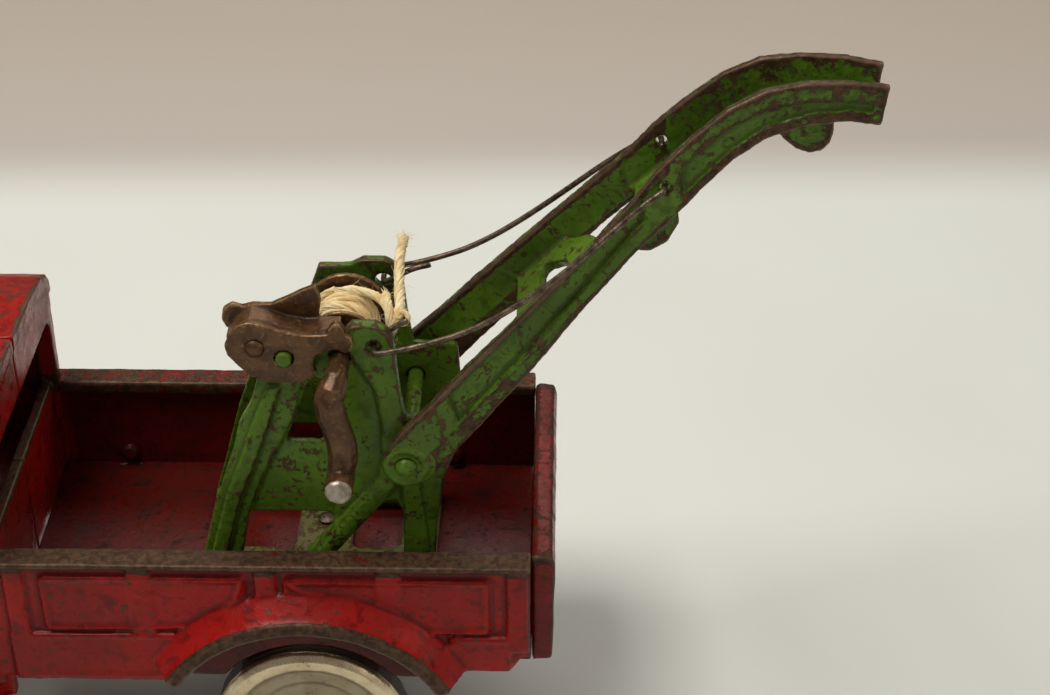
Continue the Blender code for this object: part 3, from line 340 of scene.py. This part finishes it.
def mark_wear(mesh, rounds, scale_mm, bare=None, soot_and_shade=None):
    """Store how far each point stands out from its smoothed surface, how bare it is, and how dark its soiling and
    painted shade make it.
    """
    co = coords(mesh)
    out = np.einsum('ij,ij->i', co - relaxed(mesh, co, rounds), normals(mesh)) / (scale_mm * MM)
    write_attribute(mesh, "convex", np.clip(out, -1.5, 1.5))
    local = co / MM - np.array((X_OFF, 0.0, 0.0))
    for name, rule in (("bare", bare), ("soot_and_shade", soot_and_shade)):
        write_attribute(mesh, name, rule(local, normals(mesh)) if rule else np.zeros(len(co)))


def waviness(co_mm, size, seed):
    """Smooth noise at each point, about -1 to 1."""
    shift = Vector((seed * 17.3, seed * 5.1, seed * 9.7))
    return np.array([noise.noise(Vector(p) / size + shift) for p in co_mm])


def welded(node):
    bm = bmesh.new()
    bm.from_mesh(NODES[node].data)
    bmesh.ops.remove_doubles(bm, verts=bm.verts, dist=2e-6)
    return bm


def place(obj, node):
    """The piece rides on the node's body and stands for the node."""
    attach(obj, BODY_OF[node])
    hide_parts(node)
    return obj


def casting(node, material, voxel=0.5, soften=3, waves=((9.0, 0.18), (2.2, 0.06)), reach=1.5,
            wear_scale=0.30, bare=None, soot_and_shade=None, extras=None):
    """The node's casting with rounded edges and a slightly uneven skin, standing in its CAD place."""
    bm = welded(node)
    if extras:
        extras(bm)
    mesh = bpy.data.meshes.new(node + "_casting")
    bm.to_mesh(mesh)
    bm.free()
    rough = link(bpy.data.objects.new(node + "_rough", mesh))
    modifier(rough, 'REMESH', mode='VOXEL', voxel_size=voxel * MM, adaptivity=0.0, use_smooth_shade=True)
    skin = baked(rough)
    bpy.data.objects.remove(rough, do_unlink=True)
    co = relaxed(skin, coords(skin), soften, 0.5)
    set_coords(skin, co)
    push = np.zeros(len(co))
    for i, (size, depth) in enumerate(waves):
        push += waviness(co / MM, size, i + len(node)) * depth
    set_coords(skin, co + normals(skin) * (push * MM)[:, None])
    # the wear is measured over the same reach whatever the voxel size
    mark_wear(skin, max(3, round((reach / voxel) ** 2)), wear_scale, bare, soot_and_shade)
    skin.materials.clear()
    skin.materials.append(material)
    skin.shade_smooth()
    obj = link(bpy.data.objects.new(node + "_casting", skin))
    return place(obj, node)


def smooth_copy(node, material, levels=2, bevel=0.0, wear_scale=0.3):
    """A turned or drawn piece: the CAD shape with its small facets rounded off."""
    bm = welded(node)
    mesh = bpy.data.meshes.new(node + "_fine")
    bm.to_mesh(mesh)
    bm.free()
    rough = link(bpy.data.objects.new(node + "_rough", mesh))
    if bevel:
        modifier(rough, 'BEVEL', width=bevel * MM, segments=2, limit_method='ANGLE',
                 angle_limit=math.radians(35))
    modifier(rough, 'SUBSURF', levels=levels, render_levels=levels)
    skin = baked(rough)
    bpy.data.objects.remove(rough, do_unlink=True)
    mark_wear(skin, 6, wear_scale)
    skin.materials.clear()
    skin.materials.append(material)
    skin.shade_smooth()
    obj = link(bpy.data.objects.new(node + "_fine", skin))
    return place(obj, node)


# ---------------------------------------------------------------- string
def smooth_path(points, step):
    """Evenly spaced points (mm) on a smooth curve through given points."""
    pts = [Vector(p) for p in points]
    dense = []
    for i in range(len(pts) - 1):
        p0, p1, p2 = pts[max(i - 1, 0)], pts[i], pts[i + 1]
        p3 = pts[min(i + 2, len(pts) - 1)]
        for k in range(24):
            t = k / 24
            dense.append(0.5 * ((2 * p1) + (p2 - p0) * t + (2 * p0 - 5 * p1 + 4 * p2 - p3) * t * t
                                + (3 * p1 - p0 - 3 * p2 + p3) * t ** 3))
    dense.append(pts[-1])
    run = [0.0]
    for a, b in zip(dense, dense[1:]):
        run.append(run[-1] + (b - a).length)
    n = max(2, round(run[-1] / step))
    out, j = [], 0
    for i in range(n + 1):
        want = run[-1] * i / n
        while j < len(run) - 2 and run[j + 1] < want:
            j += 1
        span = max(run[j + 1] - run[j], 1e-9)
        out.append(dense[j].lerp(dense[j + 1], (want - run[j]) / span))
    return out


def frames(path):
    """Side vectors that turn as little as possible along the path."""
    out = []
    side = None
    for i in range(len(path)):
        ahead = (path[min(i + 1, len(path) - 1)] - path[max(i - 1, 0)]).normalized()
        if side is None:
            side = ahead.orthogonal().normalized()
        side = (side - ahead * side.dot(ahead)).normalized()
        out.append((side.copy(), ahead.cross(side)))
    return out


def add_tube(bm, path, radii, sides=7):
    """A closed tube along a path of mm points."""
    rings = []
    for p, (u, v), r in zip(path, frames(path), radii):
        ring = []
        for k in range(sides):
            a = 2 * math.pi * k / sides
            q = p + (u * math.cos(a) + v * math.sin(a)) * r
            ring.append(bm.verts.new(((q.x + X_OFF) * MM, q.y * MM, q.z * MM)))
        rings.append(ring)
    for p, q in zip(rings, rings[1:]):
        for k in range(sides):
            n = (k + 1) % sides
            bm.faces.new((p[k], p[n], q[n], q[k]))
    bm.faces.new(list(reversed(rings[0])))
    bm.faces.new(rings[-1])


def yarn(bm, path, radius, seed, pitch=13.0):
    """Loosely spun yarn: soft plies in a slow twist, with single threads lying over them."""
    side = frames(path)
    step = (path[1] - path[0]).length
    rng = random.Random(seed)
    plies, threads = 4, 13
    for k in range(plies + threads):
        ply = k < plies
        turn0 = k * 2 * math.pi / plies if ply else rng.uniform(0, 2 * math.pi)
        reach = radius * (0.50 if ply else rng.uniform(0.84, 1.0))
        own = pitch if ply else pitch * rng.uniform(0.8, 1.25)
        width = radius * 0.52 if ply else rng.uniform(0.10, 0.17)
        strand, radii = [], []
        for i, p in enumerate(path):
            drift = noise.noise(Vector((i * step * 0.16, k * 3.7, seed)))
            a = turn0 + 2 * math.pi * i * step / own + 0.5 * drift
            u, v = side[i]
            strand.append(p + (u * math.cos(a) + v * math.sin(a)) * reach * (1.0 + 0.10 * drift))
            radii.append(width * (1.0 + 0.16 * drift))
        add_tube(bm, strand, radii, 8 if ply else 4)


def fuzz(bm, path, radius, count, rng, length=(1.2, 3.2)):
    """Loose fibres that stand off a yarn."""
    for _ in range(count):
        i = rng.randrange(1, len(path) - 1)
        ahead = (path[i + 1] - path[i - 1]).normalized()
        out = Vector((rng.gauss(0, 1), rng.gauss(0, 1), rng.gauss(0, 1)))
        out = (out - ahead * out.dot(ahead)).normalized()
        start = path[i] + out * radius * 0.75
        size = rng.uniform(*length)
        bend = Vector((rng.gauss(0, 1), rng.gauss(0, 1), rng.gauss(0, 1))) * 0.35
        hair = [start + (ahead * rng.uniform(-0.2, 1.0) * t + out * 0.45 * t + bend * t * t) * size
                for t in (0.0, 0.3, 0.65, 1.0)]
        add_tube(bm, hair, (0.05, 0.045, 0.035, 0.02), 3)


def cotton_piece(name, bm):
    mesh = bpy.data.meshes.new(name)
    bmesh.ops.recalc_face_normals(bm, faces=bm.faces)
    bm.to_mesh(mesh)
    bm.free()
    mesh.materials.append(COTTON)
    mesh.shade_smooth()
    return link(bpy.data.objects.new(name, mesh))


STRING_R = 1.0
TAIL_ROUTE = [(40.6, -8.8, 116.4), (41.1, -6.4, 117.3), (41.0, -3.0, 117.2), (40.6, 1.0, 117.4),
              (40.3, 5.0, 118.2), (40.1, 8.0, 119.0), (40.0, 10.6, 119.5), (40.0, 13.4, 119.5),
              (40.1, 17.0, 119.0), (40.2, 21.8, 118.6)]
LEAD_ROUTE = [(26.4, 0.4, 117.4), (29.0, 0.7, 117.9), (31.6, 0.4, 118.0), (34.3, -0.8, 118.0),
              (36.6, -2.6, 117.9), (38.2, -4.8, 117.6), (39.2, -6.8, 117.2)]


def tuft(bm, path, count, size, spread, rng):
    """Fibres that fan out past the end of a yarn."""
    tip, ahead = path[-1], (path[-1] - path[-3]).normalized()
    for _ in range(count):
        off = Vector((rng.gauss(0, 0.30), rng.gauss(0, 0.2), rng.gauss(0, 0.30)))
        fan = Vector((rng.gauss(0, spread), rng.gauss(0, spread * 0.5), rng.gauss(0.05, spread)))
        span = rng.uniform(size * 0.4, size)
        hair = [tip - ahead * 1.6 + off + (ahead + fan * t) * span * t for t in (0.0, 0.25, 0.5, 0.75, 1.0)]
        add_tube(bm, hair, (0.12, 0.11, 0.09, 0.07, 0.03), 4)


def make_string_end():
    rng = random.Random(5)
    path = smooth_path(TAIL_ROUTE, 0.45)
    bm = bmesh.new()
    yarn(bm, path, STRING_R * 1.12, 11)
    tail = cotton_piece("string_tail_yarn", bm)
    place(tail, "string_tail")
    bm = bmesh.new()
    tuft(bm, path, 60, 3.8, 0.30, rng)
    fuzz(bm, path, STRING_R * 1.1, 70, rng)
    fray = cotton_piece("string_tail_fray", bm)
    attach(fray, "truck")
    # the lead from the drum to the knot
    lead = smooth_path(LEAD_ROUTE, 0.45)
    bm = bmesh.new()
    yarn(bm, lead, STRING_R, 12)
    fuzz(bm, lead, STRING_R, 26, rng)
    place(cotton_piece("string_lead_yarn", bm), "string_lead")


# each limb of the knot: its route and its radius
KNOT_LIMBS = [([(39.7, -9.2, 114.0), (39.2, -8.9, 115.6), (38.9, -7.6, 117.3), (38.4, -4.6, 118.3),
                (37.9, -1.4, 118.2)], 0.92),
              ([(39.6, -9.3, 113.9), (40.1, -9.1, 115.2), (40.8, -8.0, 116.9), (41.2, -5.8, 117.4)], 0.98),
              ([(40.8, -7.8, 117.3), (42.3, -7.7, 117.8), (43.1, -8.5, 117.0), (42.4, -9.1, 115.9),
                (41.0, -9.2, 115.7)], 0.50),
              ([(39.8, -9.6, 114.4), (39.7, -9.9, 112.4), (39.9, -9.8, 110.4)], 0.30)]


def make_knot():
    """The string goes round the stay: two limbs that meet under it, a short frayed end and a small loop."""
    rng = random.Random(9)
    bm = bmesh.new()
    for i, (route, radius) in enumerate(KNOT_LIMBS):
        path = smooth_path(route, 0.4)
        yarn(bm, path, radius, 20 + i, 11.0)
        fuzz(bm, path, radius, 18, rng, (1.0, 2.4))
        if i == 0:
            tuft(bm, path, 44, 3.6, 0.24, rng)
    place(cotton_piece("string_knot_yarn", bm), "string_knot")


# each turn on the drum: its middle (y), how far it leans, where it leans to (degrees) and its radius, mm
TURNS = [(-6.1, 0.3, 0, 5.5), (-4.2, 0.5, 60, 5.5), (-2.2, 0.5, 0, 5.5), (-0.2, 0.4, 120, 5.6),
         (1.6, 0.4, 30, 5.6), (0.5, 1.2, 90, 6.2), (-2.2, 2.0, 20, 6.4), (-4.4, 1.4, 150, 6.3),
         (-2.6, 2.6, 60, 6.7), (0.4, 1.2, 110, 7.0)]


def make_winding():
    """String wound by hand: a close first layer, then slack turns that cross it and end on top."""
    rng = random.Random(3)
    joint = JOINTS["winch_spin"]["pos_m"]
    cx, cz = joint[0] / MM - X_OFF, joint[2] / MM
    per_turn = 44
    path = []
    count = per_turn * (len(TURNS) - 1)
    for i in range(count + 1):
        t = i / per_turn
        j = min(int(t), len(TURNS) - 2)
        f = t - j
        f = f * f * (3 - 2 * f)
        mid, lean, to, r = (p + (q - p) * f for p, q in zip(TURNS[j], TURNS[j + 1]))
        a = math.radians(108.0) + 2 * math.pi * (len(TURNS) - 1 - t)
        r += 0.22 * noise.noise(Vector((t * 2.3, 4.0, 1.0)))
        y = min(2.7, max(-6.3, mid + lean * math.cos(a - math.radians(to))))
        path.append(Vector((cx + r * math.cos(a), y, cz + r * math.sin(a))))
    bm = bmesh.new()
    yarn(bm, path, 0.98, 31)
    fuzz(bm, path, 0.95, 110, rng, (1.0, 2.6))
    place(cotton_piece("string_winding_yarn", bm), "string_winding")


make_string_end()
make_knot()
make_winding()


# ---------------------------------------------------------------- wear, soiling and painted shade maps, in the truck's own millimetres
def band(value, lo, hi, soft):
    """1 inside lo..hi, falling to 0 over soft."""
    return np.clip(np.minimum(value - lo, hi - value) / soft + 1.0, 0.0, 1.0)


RAIL_TOP = 70.9           # top of the bed rails
LIP_R = (33.2, 36.6)      # radii of the beads along the wheel arches
WHEEL_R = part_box("wheel_rear_left")[1].z / MM / 2
REAR_X = JOINTS["wheel_rear_left_spin"]["pos_m"][0] / MM - X_OFF
FRONT_X = JOINTS["wheel_front_left_spin"]["pos_m"][0] / MM - X_OFF
PIVOT_X, PIVOT_Z = 42.4, 86.1     # the boom's pivot
PAWL_X, PAWL_Z = JOINTS["pawl_swing"]["pos_m"][0] / MM - X_OFF, JOINTS["pawl_swing"]["pos_m"][2] / MM


def body_bare(p, n):
    """Rail tops, sill and fender lips are worn to the iron; the seam and the rear ends keep their paint."""
    x, y, z = p.T
    u = np.abs(y)
    rail = band(z, RAIL_TOP - 2.6, RAIL_TOP + 2, 0.8) * band(x, -60, 80, 1.0) * (u > 30.0)
    sill = band(x, -52.0, -48.0, 0.6) * band(z, RAIL_TOP - 0.8, RAIL_TOP + 2, 0.6) * (u < 32)
    lip = np.zeros(len(p))
    for cx in (REAR_X, FRONT_X):
        r = np.hypot(x - cx, z - WHEEL_R)
        lip = np.maximum(lip, band(r, *LIP_R, 0.5) * (u > 40.6))
    header = band(x, -52, -45, 0.5) * band(z, 97.5, 106.0, 1.0)
    seam = (u < 1.4) * (1.0 - sill)
    ends = band(x, 68.4, 72.0, 0.6) * (z < RAIL_TOP - 4)
    rail = rail * np.where(y > 0, 0.72, 1.0)      # the far rail keeps more of its paint
    return 0.78 * rail + 0.60 * sill + 0.78 * lip + 0.30 * header - 0.9 * seam - 0.25 * ends


def body_shade_and_soot(p, n):
    """Painted shade and old soiling inside the bed; painted shade in the cab, up under the arches and on the rear
    ends.
    """
    x, y, z = p.T
    u = np.abs(y)
    bed = (u < 34.4) * band(z, 38.0, RAIL_TOP - 3.6, 0.8) * band(x, -45.5, 72.0, 1.2)
    front = (u < 34.4) * band(z, 38.0, RAIL_TOP - 1.5, 1.0) * band(x, -48.6, -46.5, 0.6) * 0.10
    cab = (u < 33.6) * band(x, -91.0, -51.4, 0.6) * band(z, 30, 100.0, 1.0) * 0.8
    # painted shade up under the arches
    under = np.zeros(len(p))
    for cx in (REAR_X, FRONT_X):
        r = np.hypot(x - cx, z - WHEEL_R)
        under = np.maximum(under, (r < LIP_R[0] + 0.2) * (u < 42.6) * 1.0)
    # painted shade on the rear ends
    rear = (x > 69.3) * 0.8 * (z < RAIL_TOP - 1.0)
    return np.maximum.reduce([0.85 * bed, front, cab, under, rear])


def floor_shade_and_soot(p, n):
    """The bed floor is darkened all over: painted shade and soiling."""
    return np.full(len(p), 0.97)


def tail_bare(p, n):
    """The tailgate is rubbed along its top, and a little down the sides of its outer face."""
    x, y, z = p.T
    return 0.30 * band(z, RAIL_TOP - 2.2, RAIL_TOP + 2, 0.8) + 0.16 * (np.abs(y) > 30.6) * (x > 71.5)


def tail_shade_and_soot(p, n):
    """Painted shade and soiling on the tailgate: darkest on its inner face, darkened on its ends and over its top.
    """
    ends = (np.abs(p[:, 1]) > 32.4) * 0.5
    return np.maximum(ends, np.where(p[:, 2] < RAIL_TOP - 2.0, 0.7 * (n[:, 0] < -0.5), 0.55))


def frame_bare(p, n):
    """The front leg is rubbed on its rear flank, and the ear all over; the pawl's pin keeps its paint."""
    x, y, z = p.T
    ear = band(z, 108, 122, 2.0) * band(x, 30, 44, 1.5)
    pin = (np.hypot(x - PAWL_X, z - PAWL_Z) < 2.3) * (y < -15.4)
    leg = band(z, 50, 106, 2.0) * (x < 14.0 + (z - 100.0) * 0.1)
    flank = leg * np.where(n[:, 0] > 0.30, 0.30, 0.0) - leg * np.where(n[:, 0] < -0.25, 0.30, 0.0)
    return flank + 0.06 * leg + 0.28 * ear - 1.6 * pin


def boom_bare(p, n):
    """The upper edges, the lower flanges and the goose neck have lost most of their paint."""
    x, y, z = p.T
    rise = (x - 52.2) * -0.738 + (z - 88.0) * 0.675       # height above the lower edge of the straight part
    straight = x < 98.0
    nose = band(x, 104, 150, 14.0)
    inner = straight * (n[:, 1] * np.sign(y) < -0.5)
    eye = np.hypot(x - PIVOT_X, z - PIVOT_Z) < 6.4
    return (0.40 * nose + 0.40 * straight * (rise > 11.0) + 0.44 * straight * (rise < 4.4) * (~eye)
            + 0.16 * inner - 0.12 * eye)


def grip_bare(p, n):
    """The end face of the crank's grip is polished by use."""
    return (p[:, 1] < -31.4) * 1.0 + 0.12 * (p[:, 1] < -28)


def wheel_iron_and_shade(p, n):
    """A wheel's tread and inside are bare dark iron, painted dark also for the shade under the fender; the plate
    is on its outer face, thinner on the disc.
    """
    x, y, z = p.T
    r = np.hypot(x - np.where(x > -40, REAR_X, FRONT_X), z - WHEEL_R)
    outer = (np.abs(y) > 35.3) | ((n[:, 1] * np.sign(y) > 0.35) & (np.abs(y) > 33.0))
    return 1.0 - outer * np.where(r < 17.7, 0.50, 1.0)


# ---------------------------------------------------------------- shapes added to the castings
# raised lines on the bed sides (x, z): the two panels' rims and the ledges below them
PANEL_RIMS = [[(-37.4, 66.4), (-16.0, 66.5), (6.6, 66.4), (5.1, 60.9), (-4.0, 53.4), (-20.0, 52.4),
               (-37.4, 52.3)],
              [(16.2, 66.2), (38.0, 66.2), (60.2, 66.1), (60.2, 52.2), (47.0, 51.8), (40.0, 57.2),
               (30.3, 61.5), (19.4, 63.6)]]
LEDGES = [[(-41.0, 50.0), (-22.0, 50.1), (-4.6, 50.2)], [(53.4, 49.9), (59.0, 49.9), (64.4, 49.9)],
          [(-43.0, 38.4), (-28.0, 38.4), (-13.0, 38.6)]]
RIM_OUT, LEDGE_OUT, BEAD_R = 36.75, 37.0, 0.62      # half width over their centre lines, and their radius
ARCH_WALL_R = (24.0, 34.6)      # from just outside the wheel's well to behind the fender
ARCH_WALL_U = (33.6, 35.4)      # inner and outer face, from the truck's middle
ARCH_WALL_DEG = (26.0, 151.0)
ARCH_WALL_RISE = 14.6           # its lower edge, above the axle
POST_FOOT_Z = (45.6, 46.5)      # where the side wall's posts end in the CAD
POST_FEET = ((9.0, 14.3, 55.2), (35.7, 41.7, 52.4))     # posts over the arch: from x, to x, raised foot
FLOOR_PLATE_Z = (44.75, 45.55)
FLOOR_CORNERS = [(x, y) for x in ((-48.3, -43.0), (64.5, 69.6)) for y in ((-33.0, -28.0), (28.0, 33.0))]
TAIL_PLATE = ((70.08, 71.6), (-33.0, 33.0), (41.4, RAIL_TOP - 0.7))
PIVOT_RING_R, PIVOT_RING_OUT = 4.4, 21.35


def add_block(bm, xs, ys, zs):
    """A closed box between two values of each axis, in mm."""
    (x0, x1), (y0, y1), (z0, z1) = xs, ys, zs
    for v in bmesh.ops.create_cube(bm, size=1.0)["verts"]:
        v.co = Vector((((x0 + x1) / 2 + X_OFF + v.co.x * (x1 - x0)) * MM,
                       ((y0 + y1) / 2 + v.co.y * (y1 - y0)) * MM,
                       ((z0 + z1) / 2 + v.co.z * (z1 - z0)) * MM))


def arch_wall(bm, sign):
    """The side wall behind the rear fender, round the wheel's well."""
    (r0, r1), (u0, u1), (a0, a1) = ARCH_WALL_R, ARCH_WALL_U, ARCH_WALL_DEG
    rings, n = [], 30
    for i in range(n + 1):
        a = math.radians(a0 + (a1 - a0) * i / n)
        inner = max(r0, min(r1 - 0.5, ARCH_WALL_RISE / max(math.sin(a), 0.05)))
        rings.append([bm.verts.new(((REAR_X + X_OFF + r * math.cos(a)) * MM, sign * u * MM,
                                    (WHEEL_R + r * math.sin(a)) * MM))
                      for r, u in ((inner, u0), (inner, u1), (r1, u1), (r1, u0))])
    for p, q in zip(rings, rings[1:]):
        for j in range(4):
            bm.faces.new((p[j], p[(j + 1) % 4], q[(j + 1) % 4], q[j]))
    bm.faces.new(rings[0])
    bm.faces.new(list(reversed(rings[-1])))


def body_beads(bm, sign):
    """The raised lines on one bed side."""
    for i, loop in enumerate(PANEL_RIMS + LEDGES):
        closed = i < len(PANEL_RIMS)
        out = RIM_OUT if closed else LEDGE_OUT
        corners = [(x, sign * out, z) for x, z in loop + (loop[:1] if closed else [])]
        path = []
        for a, b in zip(corners, corners[1:]):
            n = max(2, round((Vector(b) - Vector(a)).length))
            path += [Vector(a).lerp(Vector(b), k / n) for k in range(n)]
        path.append(Vector(corners[-1]))
        add_tube(bm, path, [BEAD_R] * len(path), 8)


def body_extras(bm, sign):
    """Posts that end above the arch, the wall behind the fender and the raised lines."""
    for v in bm.verts:
        x, u, z = v.co.x / MM - X_OFF, abs(v.co.y) / MM, v.co.z / MM
        if u > 34.5 and POST_FOOT_Z[0] < z < POST_FOOT_Z[1]:
            for x0, x1, foot in POST_FEET:
                if x0 < x < x1:
                    v.co.z = foot * MM
    arch_wall(bm, sign)
    body_beads(bm, sign)
    bmesh.ops.recalc_face_normals(bm, faces=bm.faces)


def floor_corners(bm):
    """The floor plate reaches into the bed's corners."""
    for xs, ys in FLOOR_CORNERS:
        add_block(bm, xs, ys, FLOOR_PLATE_Z)
    bmesh.ops.recalc_face_normals(bm, faces=bm.faces)


def tail_fit(bm):
    """The tailgate's inner face lies close against the body's rear ends."""
    add_block(bm, *TAIL_PLATE)
    bmesh.ops.recalc_face_normals(bm, faces=bm.faces)


def boom_ring(bm):
    """A raised ring round the pivot on each side."""
    for y in (-PIVOT_RING_OUT, PIVOT_RING_OUT):
        ring = [Vector((PIVOT_X + PIVOT_RING_R * math.cos(2 * math.pi * k / 32), y,
                        PIVOT_Z + PIVOT_RING_R * math.sin(2 * math.pi * k / 32)))
                for k in range(34)]
        add_tube(bm, ring, [0.6] * len(ring), 8)


# ---------------------------------------------------------------- castings
def make_castings():
    body_voxel = 0.46
    for side, sign in (("left", -1), ("right", 1)):
        casting("body_" + side, RED, body_voxel, 2, bare=body_bare, soot_and_shade=body_shade_and_soot,
                extras=lambda bm, sign=sign: body_extras(bm, sign))
        casting("crane_frame_" + side, GREEN, 0.32, 4, bare=frame_bare,
                waves=((7.0, 0.16), (1.8, 0.05)))
    casting("tailgate", RED, 0.45, 3, bare=tail_bare, soot_and_shade=tail_shade_and_soot,
            extras=tail_fit)
    casting("bed_floor", RED, 0.4, 1, waves=((14.0, 0.10),), soot_and_shade=floor_shade_and_soot,
            extras=floor_corners)
    casting("crane_base", OLIVE, 0.4, 2, waves=((6.0, 0.08), (1.6, 0.04)))
    casting("boom", GREEN, 0.4, 3, bare=boom_bare, extras=boom_ring)
    casting("pawl_lever", BRONZE, 0.28, 4, waves=((4.0, 0.10), (1.2, 0.03)))
    casting("crank", BRONZE, 0.28, 3, waves=((2.6, 0.16), (0.9, 0.03)), bare=grip_bare)
    casting("winch_drum", BRONZE, 0.28, 3, waves=((3.0, 0.06),))


make_castings()


def make_turned():
    for side in ("left", "right"):
        for end in ("front", "rear"):
            casting("wheel_%s_%s" % (end, side), NICKEL, 0.4, 3, waves=((2.2, 0.04),),
                    reach=1.2, bare=wheel_iron_and_shade)
        smooth_copy("stay_" + side, STEEL, 1)
        smooth_copy("floor_screw_" + side, STEEL, 2, 0.1)
    for end in ("front", "rear"):
        smooth_copy("axle_" + end, STEEL, 2, 0.12)
    smooth_copy("boom_pivot_rod", GREEN, 2, 0.12, wear_scale=0.8)
    smooth_copy("pawl_rivet", BRONZE, 2, 0.12)


make_turned()


# ---------------------------------------------------------------- floor, backdrop and light
def table_material(name):
    """Matt paper with a painted falloff of light: pale where the truck stands, tan and darker towards the back, in
    mm behind the origin.
    """
    s = Shader(name)
    back = s.axis("Y")
    edge = s.math('MULTIPLY_ADD', s.axis("X"), -0.03, back)
    # the tan, darker back is a painted falloff of the light
    tone = s.mix(s.ramp(edge, 236.0, 290.0), (0.735, 0.770, 0.745), (0.500, 0.460, 0.430))
    tone = s.mix(s.ramp(back, 280.0, 430.0), tone, (0.472, 0.418, 0.362))
    cloud = s.ramp(s.noise(0.006, 2.0), 0.3, 0.7, 0.0, 0.10)
    return s.finish(s.mix(cloud, tone, (0.55, 0.50, 0.44)), 0.8, 0.0, Specular_IOR_Level=0.2)


def make_stage():
    """A pale table that turns up into a softly curved backdrop."""
    profile = [(-2.0, 0.0), (0.62, 0.0)]
    for i in range(1, 13):
        a = math.radians(90 * i / 12)
        profile.append((0.62 + 0.5 * math.sin(a), 0.5 - 0.5 * math.cos(a)))
    profile.append((1.12, 2.2))
    bm = bmesh.new()
    rows = [[bm.verts.new((x, y, z - 0.0004)) for x in (-3.0, 3.0)] for y, z in profile]
    for a, b in zip(rows, rows[1:]):
        bm.faces.new((a[0], a[1], b[1], b[0]))
    mesh = bpy.data.meshes.new("table")
    bm.to_mesh(mesh)
    bm.free()
    mesh.materials.append(table_material("table"))
    mesh.shade_smooth()
    link(bpy.data.objects.new("table", mesh))


def area_light(name, at, aim, size, power, color=(1.0, 1.0, 1.0)):
    data = bpy.data.lights.new(name, 'AREA')
    data.shape = 'RECTANGLE'
    data.size, data.size_y = size
    data.energy = power
    data.color = color
    obj = link(bpy.data.objects.new(name, data))
    obj.location = at
    obj.rotation_euler = (Vector(aim) - Vector(at)).to_track_quat('-Z', 'Y').to_euler()


def make_light():
    world = bpy.data.worlds.new("studio")
    world.use_nodes = True
    world.node_tree.nodes["Background"].inputs["Color"].default_value = (1.0, 0.94, 0.86, 1.0)
    world.node_tree.nodes["Background"].inputs["Strength"].default_value = 0.22
    bpy.context.scene.world = world
    area_light("key", (-0.28, -0.10, 1.0), (0.02, 0.0, 0.06), (0.50, 0.40), 7.6, (1.0, 0.95, 0.87))
    area_light("top_back", (0.25, 0.75, 0.95), (0.03, 0.0, 0.08), (1.0, 0.5), 4.2, (1.0, 0.95, 0.88))
    area_light("fill", (0.9, -0.6, 0.45), (0.03, 0.0, 0.06), (0.5, 0.5), 1.1, (1.0, 0.93, 0.84))


make_stage()
make_light()
bpy.context.scene.view_settings.view_transform = 'Standard'
